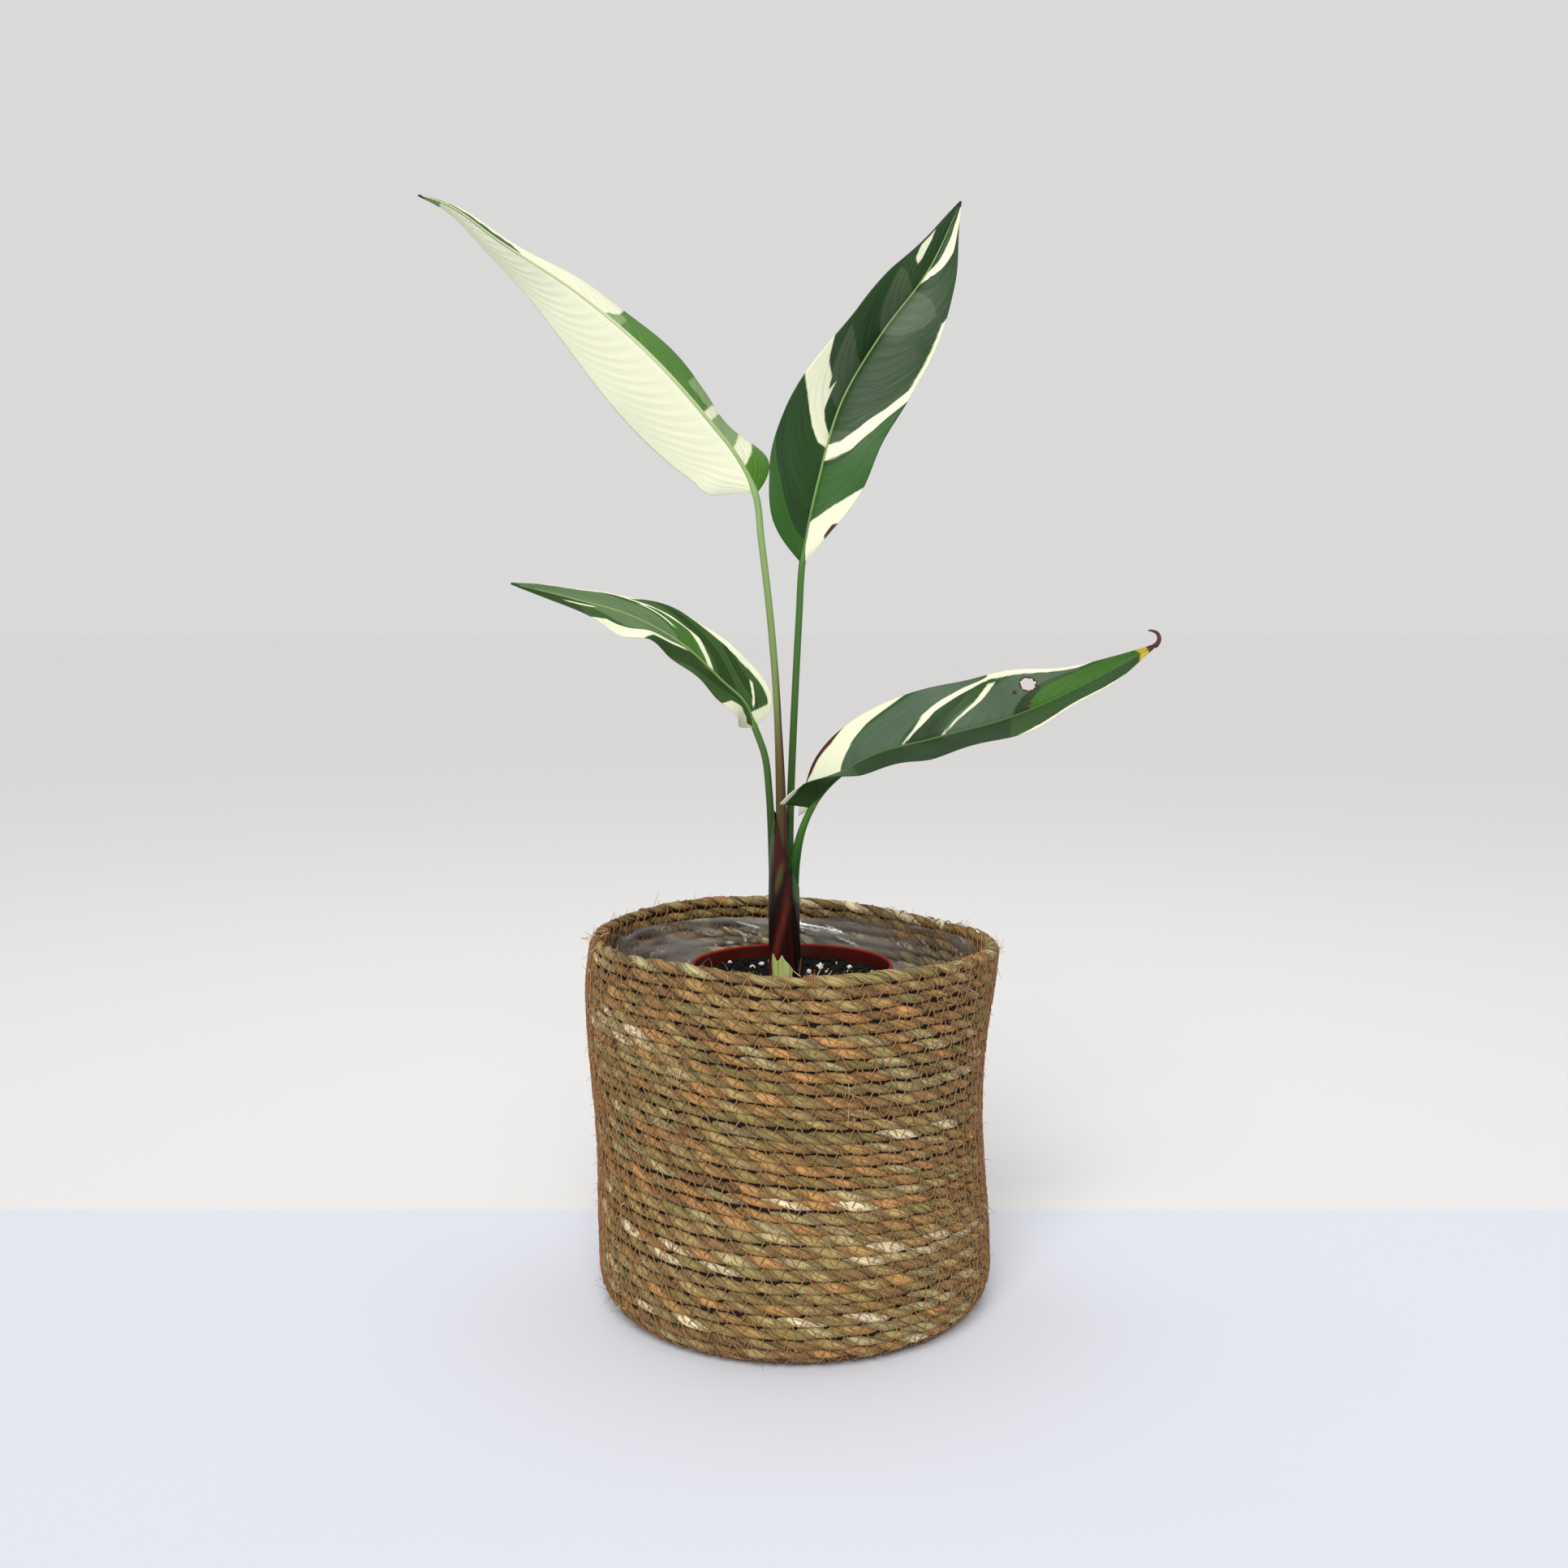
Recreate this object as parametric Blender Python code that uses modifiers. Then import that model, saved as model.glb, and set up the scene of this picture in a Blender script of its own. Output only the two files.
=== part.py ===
"""Heliconia in a basket: four variegated leaves, a short stem, a nursery pot, a film liner and a seagrass basket.

The front is -Y, +Z is up, and the origin is the middle of the basket's flat underside. Lengths are in metres.
"""
import math

import bmesh
import bpy
import numpy as np
from mathutils import Matrix, Vector

OBJECT_NAME = "heliconia_in_basket"
GAP = 0.0003

# Basket, coiled from one long rope and sewn row to row.
BASKET_HEIGHT = 0.220
BASKET_RADII = (
    (0.000, 0.1168), (0.040, 0.1168), (0.110, 0.1150), (0.170, 0.1188), (0.190, 0.1205), (0.220, 0.1205),
)
BASKET_SWAY = 0.005
BASKET_SIDES = 28

# The uneven rim: degrees round the basket from +X towards the back, and how far the rim rises there.
RIM_LIFT = (
    (0, -0.0040), (45, -0.0050), (80, 0.0), (115, 0.0035), (150, 0.0025), (180, 0.0005), (210, 0.0015),
    (240, 0.0030), (270, 0.0), (315, 0.0), (345, -0.0020), (360, -0.0040),
)
FOOT_RADIUS = 0.022
ROPE_ROWS = 34
ROPE_RELIEF = 0.0015
ROW_SLOPE = 0.085
WALL = 0.0072
FLOOR = 0.0065
SWAY_BIAS = 1.8
RIM_LIFT_FADE = 4

# The round crest of the top rope: how far out from the inner face, and how far below the rim's height.
RIM_CREST = ((0.0, 0.0045), (0.0012, 0.0014), (0.0036, 0.0), (0.0057, 0.0010))

# Film liner that lies against the inside of the basket.
FILM = 0.0006
LINER_TOP = 0.209
LINER_LEVELS = tuple(share * LINER_TOP for share in (0.3, 0.5, 0.7, 0.85, 1.0))

# Nursery pot, standing on the liner's floor, and what fills it.
POT_CENTRE_X = -0.0022
POT_TOP = 0.2016
POT_RIM_RADIUS = 0.0600
POT_RIM_HEIGHT = 0.008
POT_BODY_RADIUS = 0.0575
POT_FOOT_RADIUS = 0.0465
POT_WALL = 0.0012
POT_SIDES = 28
POT_EDGE = 0.0008
POT_FOOT_EDGE = 0.002
DRAIN_HOLES = 6
DRAIN_RADIUS = 0.004
DRAIN_RING = 0.6
SOIL_TOP = 0.194
SOIL_HEAVE = 0.0014
SOIL_RINGS = (0.2, 0.38, 0.54, 0.69, 0.84, 1.0)
GRAIN_SINK = 0.2

# Perlite grains and crumbs that lie in the soil's surface: x, y, radius.
GRAINS = (
    (0.0150, 0.0200, 0.0030), (0.0018, 0.0400, 0.0017), (0.0080, 0.0075, 0.0016),
    (0.0000, 0.0160, 0.0015), (-0.0400, 0.0300, 0.0018), (-0.0260, 0.0200, 0.0018),
    (-0.0205, 0.0260, 0.0016), (0.0330, 0.0175, 0.0018), (0.0240, -0.0310, 0.0022),
    (-0.0290, -0.0310, 0.0024), (-0.0150, 0.0420, 0.0017), (0.0400, -0.0120, 0.0018),
)

# The rolled leaf sheaths that make the stem: z, radius.
STEM_X = -0.0068
STEM_RADII = (
    (0.150, 0.0086), (0.190, 0.0092), (0.225, 0.0092), (0.258, 0.0089), (0.279, 0.0082), (0.297, 0.0066),
)
SHEATH_MOUTH_LEFT = (-0.0140, 0.2915)
SHEATH_MOUTH_RIGHT = (-0.0022, 0.2580)

# Folded scale leaf at the foot of the stem: x, z, half width.
SHOOT_Y = -0.0122
SHOOT_FLATNESS = 0.42
SHOOT_FORM = (
    (-0.0080, 0.1780, 0.0016), (-0.0078, 0.1880, 0.0034), (-0.0080, 0.1960, 0.0042),
    (-0.0098, 0.2040, 0.0031), (-0.0132, 0.2112, 0.0006),
)

BLADE_THICKNESS = 0.0007
STALK_RADIUS = 0.0024
STALK_TAPER = 0.0004
MIDRIB_RADIUS = 0.0013
MIDRIB_ROOT = 0.0007
MIDRIB_ROOT_SHARE = 0.04
TIP_RADIUS = 0.0005
BLADE_STATIONS = 20
STATION_CROWDING = 1.15
HALF_BLADE_COLUMNS = (0.34, 0.69, 1.0)
LOBE_SHARE = 0.18
FULL_RIPPLE_WIDTH = 0.02

# Each leaf: the stalk from its seat in the stem, the midrib from the blade's base to its tip, and sections
# across the blade. A section is the share of the midrib's length, then the half width in millimetres and the
# tilt in degrees out of the plane that faces the front, for the left half and for the right half. Arch is how
# far each half curls, in degrees, and lobes is how far its base is swept back along the midrib, in degrees.
LEAVES = {
    "leaf_upper_left": dict(
        stalk=(
            (-0.0088, -0.0028, 0.2380), (-0.0087, -0.0030, 0.2567), (-0.0092, -0.0030, 0.3049),
            (-0.0111, -0.0035, 0.3598), (-0.0158, -0.0030, 0.4163), (-0.0200, -0.0015, 0.4513),
        ),
        midrib=(
            (-0.0237, 0.0000, 0.4788), (-0.0325, -0.0012, 0.4967), (-0.0509, -0.0041, 0.5202),
            (-0.0845, -0.0102, 0.5566), (-0.1227, -0.0176, 0.5879), (-0.1645, -0.0258, 0.6142),
            (-0.1954, -0.0320, 0.6340), (-0.2072, -0.0350, 0.6369),
        ),
        sections=(
            (0.00, 2.0, -18, 3.0, -40), (0.05, 24.0, -15, 23.0, -52), (0.12, 31.0, -18, 30.0, -70),
            (0.25, 38.0, -18, 37.0, -74), (0.42, 36.0, -19, 36.0, -69), (0.58, 27.5, -22, 29.0, -72),
            (0.70, 20.0, -40, 21.0, -70), (0.85, 10.0, -45, 11.0, -72), (1.00, 0.6, -50, 0.6, -72),
        ),
        arch=(6, 6), lobes=(10, 10), ripple=0.0010, waves=3.5,
    ),
    "leaf_upper_right": dict(
        stalk=(
            (-0.0042, 0.0042, 0.2380), (-0.0039, 0.0040, 0.2556), (-0.0027, 0.0040, 0.3041),
            (-0.0004, 0.0040, 0.3594), (0.0020, 0.0030, 0.4069),
        ),
        midrib=(
            (0.0039, 0.0000, 0.4388), (0.0070, 0.0028, 0.4580), (0.0133, 0.0084, 0.4863),
            (0.0269, 0.0190, 0.5323), (0.0509, 0.0305, 0.5736), (0.0791, 0.0426, 0.6119),
            (0.0994, 0.0550, 0.6549),
        ),
        sections=(
            (0.00, 2.0, 22, 2.0, 15), (0.06, 19.0, 22, 11.0, 15), (0.18, 31.0, 22, 26.0, 15),
            (0.32, 33.0, 27, 32.0, 15), (0.50, 28.5, 44, 36.0, 14), (0.66, 24.0, 38, 31.5, 15),
            (0.80, 16.5, 26, 18.5, 16), (0.91, 8.0, 26, 7.5, 16), (1.00, 0.6, 20, 0.6, 16),
        ),
        arch=(10, 10), lobes=(6, 6), ripple=0.0010, waves=4.0,
    ),
    "leaf_lower_left": dict(
        stalk=(
            (-0.0132, 0.0014, 0.2450), (-0.0137, 0.0012, 0.2600), (-0.0144, 0.0002, 0.2830),
            (-0.0156, -0.0015, 0.3048), (-0.0182, -0.0038, 0.3265),
        ),
        midrib=(
            (-0.0243, -0.0060, 0.3438), (-0.0288, -0.0098, 0.3560), (-0.0425, -0.0155, 0.3700),
            (-0.0660, -0.0253, 0.3922), (-0.0942, -0.0353, 0.4080), (-0.1252, -0.0455, 0.4172),
            (-0.1565, -0.0560, 0.4253),
        ),
        sections=(
            (0.00, 2.0, 45, 2.0, -10), (0.05, 14.0, 53, 14.0, -15), (0.11, 18.0, 62, 18.5, -19),
            (0.25, 21.5, 71, 21.5, -33), (0.42, 20.0, 65, 20.0, -43), (0.52, 18.5, 68, 18.0, -45),
            (0.62, 17.0, 47, 14.5, -52), (0.72, 12.5, 53, 11.5, -52), (0.86, 7.0, 62, 6.5, -47),
            (1.00, 0.6, 50, 0.6, -42),
        ),
        arch=(10, 10), lobes=(20, 12), ripple=0.0008, waves=4.5,
    ),
    "leaf_lower_right": dict(
        stalk=(
            (-0.0005, -0.0012, 0.2360), (-0.0003, -0.0024, 0.2500), (0.0006, -0.0045, 0.2641),
            (0.0041, -0.0085, 0.2831),
        ),
        midrib=(
            (0.0093, -0.0120, 0.2959), (0.0194, -0.0164, 0.3097), (0.0395, -0.0233, 0.3253),
            (0.0801, -0.0350, 0.3387), (0.1207, -0.0470, 0.3514), (0.1589, -0.0593, 0.3700),
            (0.1950, -0.0720, 0.3923),
        ),
        sections=(
            (0.00, 13.0, -30, 22.5, 142), (0.05, 15.0, -36, 20.0, 133), (0.12, 22.0, -38, 22.0, 108),
            (0.20, 28.0, -37, 27.0, 83), (0.35, 31.5, -30, 31.0, 79), (0.50, 31.0, -31, 31.0, 78),
            (0.65, 25.5, -28, 25.0, 74), (0.80, 14.0, -43, 14.0, 67), (0.91, 6.5, -45, 6.5, 51),
            (1.00, 0.6, -40, 0.6, 45),
        ),
        arch=(8, 10), lobes=(68, -8), ripple=0.0010, waves=4.0,
    ),
}


def clear_scene():
    for thing in list(bpy.data.objects):
        bpy.data.objects.remove(thing, do_unlink=True)


def new_collection(name):
    collection = bpy.data.collections.new(name)
    bpy.context.scene.collection.children.link(collection)
    return collection


def plain_material(name, colour, roughness, alpha=1.0):
    material = bpy.data.materials.new(name)
    material.use_nodes = True
    shader = material.node_tree.nodes["Principled BSDF"]
    shader.inputs["Base Color"].default_value = (*colour, 1.0)
    shader.inputs["Roughness"].default_value = roughness
    shader.inputs["Alpha"].default_value = alpha
    return material


def smooth_values(knots, values, at):
    """Values of a smooth curve that passes through each knot."""
    knots, values, at = np.asarray(knots), np.asarray(values), np.asarray(at)
    slopes = np.gradient(values, knots, axis=0)
    left = np.clip(np.searchsorted(knots, at, side="right") - 1, 0, len(knots) - 2)
    span = knots[left + 1] - knots[left]
    share = (at - knots[left]) / span
    if values.ndim > 1:
        span, share = span[:, None], share[:, None]
    return (
        (2 * share**3 - 3 * share**2 + 1) * values[left]
        + (share**3 - 2 * share**2 + share) * span * slopes[left]
        + (3 * share**2 - 2 * share**3) * values[left + 1]
        + (share**3 - share**2) * span * slopes[left + 1]
    )


def lengths_along(points):
    steps = np.linalg.norm(np.diff(points, axis=0), axis=1)
    return np.concatenate(([0.0], np.cumsum(steps)))


def mesh_object(name, mesh, collection):
    thing = bpy.data.objects.new(name, mesh)
    collection.objects.link(thing)
    return thing


def into_collection(name, collection):
    """Names the primitive that was just added and moves it to the collection."""
    thing = bpy.context.object
    thing.name = name
    for home in thing.users_collection:
        home.objects.unlink(thing)
    collection.objects.link(thing)
    return thing


def evaluated_copy(source, name, collection):
    """A plain mesh object with the source's shape, which takes the source's place."""
    bpy.context.view_layer.update()
    graph = bpy.context.evaluated_depsgraph_get()
    mesh = bpy.data.meshes.new_from_object(source.evaluated_get(graph))
    mesh.name = name
    mesh.transform(source.matrix_world)
    bpy.data.objects.remove(source, do_unlink=True)
    build = bmesh.new()
    build.from_mesh(mesh)
    bmesh.ops.remove_doubles(build, verts=build.verts, dist=0.00001)
    build.to_mesh(mesh)
    build.free()
    return mesh_object(name, mesh, collection)


def turned(name, profile, sides, collection):
    """A closed solid from a profile of (radius, z) from axis to axis, its outer side running down."""
    mesh = bpy.data.meshes.new(name + "_profile")
    points = [(radius, 0.0, z) for radius, z in profile]
    mesh.from_pydata(points, [(i, i + 1) for i in range(len(points) - 1)], [])
    source = mesh_object(name + "_profile", mesh, collection)
    screw = source.modifiers.new("turn", "SCREW")
    screw.steps = sides
    screw.render_steps = sides
    screw.use_merge_vertices = True
    screw.merge_threshold = 0.00001
    return evaluated_copy(source, name, collection)


def tube(name, points, radii, resolution, collection):
    """A round bar along the points, with a radius at each and closed ends."""
    curve = bpy.data.curves.new(name + "_path", "CURVE")
    curve.dimensions = "3D"
    curve.bevel_depth = 1.0
    curve.bevel_resolution = resolution
    curve.use_fill_caps = True
    spline = curve.splines.new("POLY")
    spline.points.add(len(points) - 1)
    for place, point, radius in zip(spline.points, points, radii):
        place.co = (*point, 1.0)
        place.radius = radius
    return evaluated_copy(mesh_object(name + "_path", curve, collection), name, collection)


def as_cutter(thing):
    thing.hide_render = True
    thing.display_type = "WIRE"
    return thing


def add_boolean(target, operation, other, solver="EXACT"):
    modifier = target.modifiers.new(operation.lower(), "BOOLEAN")
    modifier.operation = operation
    modifier.solver = solver
    modifier.object = as_cutter(other)


def basket_radius(z):
    heights, radii = zip(*BASKET_RADII)
    return float(smooth_values(heights, radii, [min(max(z, 0.0), BASKET_HEIGHT)])[0])


def basket_sway(z):
    """How far the soft basket leans to the left at this height, nothing at the foot and the rim."""
    share = min(max(z / BASKET_HEIGHT, 0.0), 1.0)
    return -BASKET_SWAY * math.sin(math.pi * share**SWAY_BIAS)


def raise_rim(basket):
    """Lifts the rope rows into the uneven rim, most at the top. The wall behind the film stays level."""
    inner = basket_radius(0.0) - WALL
    turns, lifts = zip(*RIM_LIFT)
    for vertex in basket.data.vertices:
        x, y, z = vertex.co
        if math.hypot(x, y) > inner + GAP or z > LINER_TOP + GAP:
            turn = math.degrees(math.atan2(y, x)) % 360
            fade = (max(z, 0.0) / BASKET_HEIGHT) ** RIM_LIFT_FADE
            vertex.co.z += float(smooth_values(turns, lifts, [turn])[0]) * fade


def sag(thing):
    """Pulls a straight cylinder, turned round the Z axis, into the basket's soft outline.

    A wall keeps its distance inward from the outline, and a floor stays as it is.
    """
    straight = basket_radius(0.0)
    for vertex in thing.data.vertices:
        x, y, z = vertex.co
        radius = math.hypot(x, y)
        grown = basket_radius(z) - straight
        scale = 1.0 + grown / radius if radius > straight - 2 * FOOT_RADIUS else 1.0
        vertex.co = (x * scale + basket_sway(z), y * scale, z)


def corner(radius, z, bend, steps):
    """Points of the inside corner between a wall and a floor, from the floor outwards and up."""
    turns = [math.pi / 2 * i / steps for i in range(steps + 1)]
    return [(radius - bend + bend * math.sin(turn), z + bend - bend * math.cos(turn)) for turn in turns]


def make_basket(parts, material):
    outer = basket_radius(0.0)
    inner = outer - WALL
    pitch = BASKET_HEIGHT / ROPE_ROWS
    rows = []
    for row in range(ROPE_ROWS, 0, -1):
        for share, depth in ((0.0, ROPE_RELIEF), (-0.5, 0.0)):
            z = (row + share) * pitch
            if z < FOOT_RADIUS:
                inset = FOOT_RADIUS - math.sqrt(FOOT_RADIUS**2 - (FOOT_RADIUS - z) ** 2)
                depth = depth * z / FOOT_RADIUS + inset
            rows.append((outer - depth, z))
    rim = [(inner + out, BASKET_HEIGHT - down) for out, down in RIM_CREST]
    floor = corner(inner, FLOOR, FOOT_RADIUS - WALL, 3)
    foot = outer - FOOT_RADIUS
    wall = [(inner, z) for z in LINER_LEVELS]
    profile = [(0.0, FLOOR), *floor, *wall, *rim, *rows[1:], (foot, 0.0), (0.0, 0.0)]
    basket = turned("basket", profile, BASKET_SIDES, parts)
    slope_rows(basket)
    raise_rim(basket)
    sag(basket)
    basket.data.materials.append(material)
    return basket


def slope_rows(basket):
    """Tilts the rope rows of the straight basket's outer face, down to the right at mid height."""
    inside = basket_radius(0.0) - WALL / 2
    for vertex in basket.data.vertices:
        x, y, z = vertex.co
        if math.hypot(x, y) > inside and z > FOOT_RADIUS:
            share = (z - FOOT_RADIUS) / (BASKET_HEIGHT - FOOT_RADIUS)
            vertex.co.z -= ROW_SLOPE * x * math.sin(math.pi * share) ** 2


def make_liner(parts, material):
    outer = basket_radius(0.0) - WALL - GAP
    inner = outer - FILM
    floor_low = FLOOR + GAP
    floor_high = floor_low + FILM
    bend = FOOT_RADIUS - WALL - GAP
    profile = [
        (0.0, floor_high), *corner(inner, floor_high, bend - FILM, 3), *((inner, z) for z in LINER_LEVELS),
        *((outer, z) for z in reversed(LINER_LEVELS)), *reversed(corner(outer, floor_low, bend, 3)),
        (0.0, floor_low),
    ]
    liner = turned("liner", profile, BASKET_SIDES, parts)
    sag(liner)
    liner.data.materials.append(material)
    return liner


def pot_inner_radius(z, foot):
    share = (z - foot) / (POT_TOP - foot)
    return POT_FOOT_RADIUS + (POT_BODY_RADIUS - POT_FOOT_RADIUS) * share - POT_WALL


def make_pot(parts, cutters, material):
    """The tapering pot with its folded rim, open at the top, and with drain holes through its base."""
    foot = FLOOR + GAP + FILM + GAP
    inner_top = POT_BODY_RADIUS - POT_WALL
    under_rim = POT_TOP - POT_RIM_HEIGHT
    inner_bend = foot + POT_WALL + POT_FOOT_EDGE
    profile = [
        (0.0, foot + POT_WALL), (pot_inner_radius(foot, foot) - POT_FOOT_EDGE, foot + POT_WALL),
        (pot_inner_radius(inner_bend, foot), inner_bend), (inner_top, POT_TOP - POT_EDGE),
        (inner_top + POT_EDGE, POT_TOP), (POT_RIM_RADIUS - POT_EDGE, POT_TOP),
        (POT_RIM_RADIUS, POT_TOP - POT_EDGE), (POT_RIM_RADIUS, under_rim),
        (pot_inner_radius(under_rim, foot) + POT_WALL, under_rim),
        (POT_FOOT_RADIUS, foot + POT_FOOT_EDGE), (POT_FOOT_RADIUS - POT_FOOT_EDGE, foot), (0.0, foot),
    ]
    pot = turned("nursery_pot", profile, POT_SIDES, parts)
    ring = DRAIN_RING * POT_FOOT_RADIUS
    for hole in range(DRAIN_HOLES):
        turn = 2 * math.pi * (hole + 0.5) / DRAIN_HOLES
        bpy.ops.mesh.primitive_cylinder_add(
            vertices=8, radius=DRAIN_RADIUS, depth=8 * POT_WALL,
            location=(POT_CENTRE_X + ring * math.cos(turn), ring * math.sin(turn), foot),
        )
        add_boolean(pot, "DIFFERENCE", into_collection(f"drain_cutter_{hole + 1}", cutters), "MANIFOLD")
    pot.data.transform(Matrix.Translation((POT_CENTRE_X, 0.0, 0.0)))
    pot.data.materials.append(material)
    return pot


def soil_height(x, y):
    """The uneven surface of the soil."""
    heave = math.sin(x * 310 + 1.3) * math.cos(y * 260 - 0.4) + 0.6 * math.sin(x * 520 - y * 470)
    return SOIL_TOP + SOIL_HEAVE * heave / 1.6


def make_soil(parts, cutters, material, stem_room, shoot_room):
    """The soil that fills the pot, with grains in its surface and sockets for the stem and the shoot."""
    foot = FLOOR + GAP + FILM + GAP
    low = foot + POT_WALL + GAP
    edge = pot_inner_radius(SOIL_TOP, foot) - GAP
    bend = low + POT_FOOT_EDGE + GAP
    profile = [
        (0.0, SOIL_TOP), *((edge * share, SOIL_TOP) for share in SOIL_RINGS),
        (pot_inner_radius(bend, foot) - GAP, bend), (pot_inner_radius(foot, foot) - POT_FOOT_EDGE - GAP, low),
        (0.0, low),
    ]
    soil = turned("potting_soil", profile, POT_SIDES, parts)
    soil.data.transform(Matrix.Translation((POT_CENTRE_X, 0.0, 0.0)))
    for vertex in soil.data.vertices:
        inside = math.hypot(vertex.co.x - POT_CENTRE_X, vertex.co.y) < edge - GAP
        if inside and vertex.co.z > SOIL_TOP - GAP:
            vertex.co.z = soil_height(vertex.co.x, vertex.co.y)
    for number, (x, y, radius) in enumerate(GRAINS):
        bpy.ops.mesh.primitive_ico_sphere_add(
            subdivisions=1, radius=radius, location=(x, y, soil_height(x, y) + GRAIN_SINK * radius),
            rotation=(0.3 * number, 0.7 * number, 0.0),
        )
        add_boolean(soil, "UNION", into_collection(f"soil_grain_{number + 1}", cutters))
    add_boolean(soil, "DIFFERENCE", stem_room)
    add_boolean(soil, "DIFFERENCE", shoot_room)
    soil.data.materials.append(material)
    return soil


def stem_tube(name, extra, collection):
    heights, radii = zip(*STEM_RADII)
    levels = np.linspace(heights[0] - extra, heights[-1], 12)
    points = [(STEM_X, 0.0, z) for z in levels]
    thickness = smooth_values(heights, radii, np.maximum(levels, heights[0])) + extra
    return tube(name, points, thickness, 5, collection)


def make_stem(parts, cutters, material):
    """The stem, with its slanting sheath mouth cut by a block above it."""
    stem = stem_tube("pseudostem", 0.0, parts)
    left, right = Vector(SHEATH_MOUTH_LEFT), Vector(SHEATH_MOUTH_RIGHT)
    slant = math.atan2(right.y - left.y, right.x - left.x)
    block = 0.08
    middle = (left + right) / 2
    bpy.ops.mesh.primitive_cube_add(size=block)
    mouth = into_collection("sheath_mouth_cutter", cutters)
    shift = Vector((-math.sin(slant), math.cos(slant))) * block / 2
    mouth.location = (middle.x + shift.x, 0.0, middle.y + shift.y)
    mouth.rotation_euler = (0.0, -slant, 0.0)
    add_boolean(stem, "DIFFERENCE", mouth)
    stem.data.materials.append(material)
    return stem


def shoot_tube(name, extra, collection):
    levels = [z for _, z, _ in SHOOT_FORM]
    heights = np.linspace(levels[0] - extra, levels[-1] + extra, 9)
    inside = np.clip(heights, levels[0], levels[-1])
    form = smooth_values(levels, [(x, width) for x, _, width in SHOOT_FORM], inside)
    points = [(x, 0.0, z) for (x, _), z in zip(form, heights)]
    shoot = tube(name, points, form[:, 1] + extra, 2, collection)
    flatness = SHOOT_FLATNESS + extra / max(width for _, _, width in SHOOT_FORM)
    for vertex in shoot.data.vertices:
        vertex.co.y = SHOOT_Y + flatness * vertex.co.y
    return shoot


def leaf_path(leaf):
    """The stalk and the midrib as one smooth line, and the length along it where the blade begins."""
    knots = np.array(leaf["stalk"] + leaf["midrib"])
    marks = lengths_along(knots)
    line = smooth_values(marks, knots, np.linspace(0.0, marks[-1], 600))
    along = lengths_along(line)
    base = np.argmin(np.linalg.norm(line - np.array(leaf["midrib"][0]), axis=1))
    return line, along, along[base]


def at_lengths(line, along, lengths):
    return np.stack([np.interp(lengths, along, line[:, axis]) for axis in range(3)], axis=1)


def unit(vectors):
    return vectors / np.linalg.norm(vectors, axis=1, keepdims=True)


def blade_columns(leaf, shares, across):
    """Points of the blade at each share of the midrib, one row of points for each step across a half.

    Both halves start at the midrib. Each bends through its arch on the way to the edge, leans by its tilt
    towards the front, is swept back near the base into a lobe, and ripples more towards its edge.
    """
    line, along, base = leaf_path(leaf)
    lengths = base + shares * (along[-1] - base)
    points = at_lengths(line, along, lengths)
    step = 0.001
    tangent = unit(at_lengths(line, along, lengths + step) - at_lengths(line, along, lengths - step))
    front = np.array((0.0, -1.0, 0.0))
    normal = unit(front - (tangent @ front)[:, None] * tangent)
    sideways = np.cross(tangent, normal)
    table = np.array(leaf["sections"], dtype=float)
    form = smooth_values(table[:, 0], table[:, 1:], shares)
    halves = []
    for side, (width, tilt), arch, lobe in (
        (-1, form[:, 0:2].T, leaf["arch"][0], leaf["lobes"][0]),
        (1, form[:, 2:4].T, leaf["arch"][1], leaf["lobes"][1]),
    ):
        width = np.maximum(width, 0.5) / 1000
        tilt = np.radians(tilt)
        arch = math.radians(arch)
        sweep = np.radians(lobe) * np.maximum(1 - shares / LOBE_SHARE, 0.0)
        outward = side * sideways * np.cos(sweep)[:, None] - tangent * np.sin(sweep)[:, None]
        face = normal * np.cos(tilt)[:, None] - side * sideways * np.sin(tilt)[:, None]
        rows = []
        for share in across:
            turn = tilt + arch - 2 * arch * share
            run = (np.sin(tilt + arch) - np.sin(turn)) / (2 * arch)
            rise = (np.cos(turn) - np.cos(tilt + arch)) / (2 * arch)
            wave = leaf["ripple"] * share**2 * np.sin(2 * math.pi * leaf["waves"] * shares + side)
            wave = wave * np.minimum(width / FULL_RIPPLE_WIDTH, 1.0)
            rows.append(points + outward * (width * run)[:, None] + normal * (width * rise)[:, None]
                        + face * wave[:, None])
        halves.append(rows)
    return points, normal, halves


def make_leaf(name, leaf, parts, cutters, material):
    """A blade with its thickness, joined with the stalk and midrib that carry it."""
    shares = (np.arange(BLADE_STATIONS + 1) / BLADE_STATIONS) ** STATION_CROWDING
    points, normal, (left, right) = blade_columns(leaf, shares, HALF_BLADE_COLUMNS)
    columns = [*reversed(left), points, *right]
    build = bmesh.new()
    grid = [[build.verts.new(point) for point in column] for column in columns]
    for near, far in zip(grid, grid[1:]):
        for low, high, high_far, low_far in zip(near, near[1:], far[1:], far):
            build.faces.new((low, low_far, high_far, high))
    bmesh.ops.triangulate(build, faces=build.faces)
    mesh = bpy.data.meshes.new(name)
    build.to_mesh(mesh)
    build.free()
    blade = mesh_object(name, mesh, parts)
    solid = blade.modifiers.new("thickness", "SOLIDIFY")
    solid.thickness = BLADE_THICKNESS
    solid.offset = 0.0
    add_boolean(blade, "UNION", stalk_tube(name + "_stalk", leaf, 0.0, cutters), "MANIFOLD")
    mesh.materials.append(material)
    return blade


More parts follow.
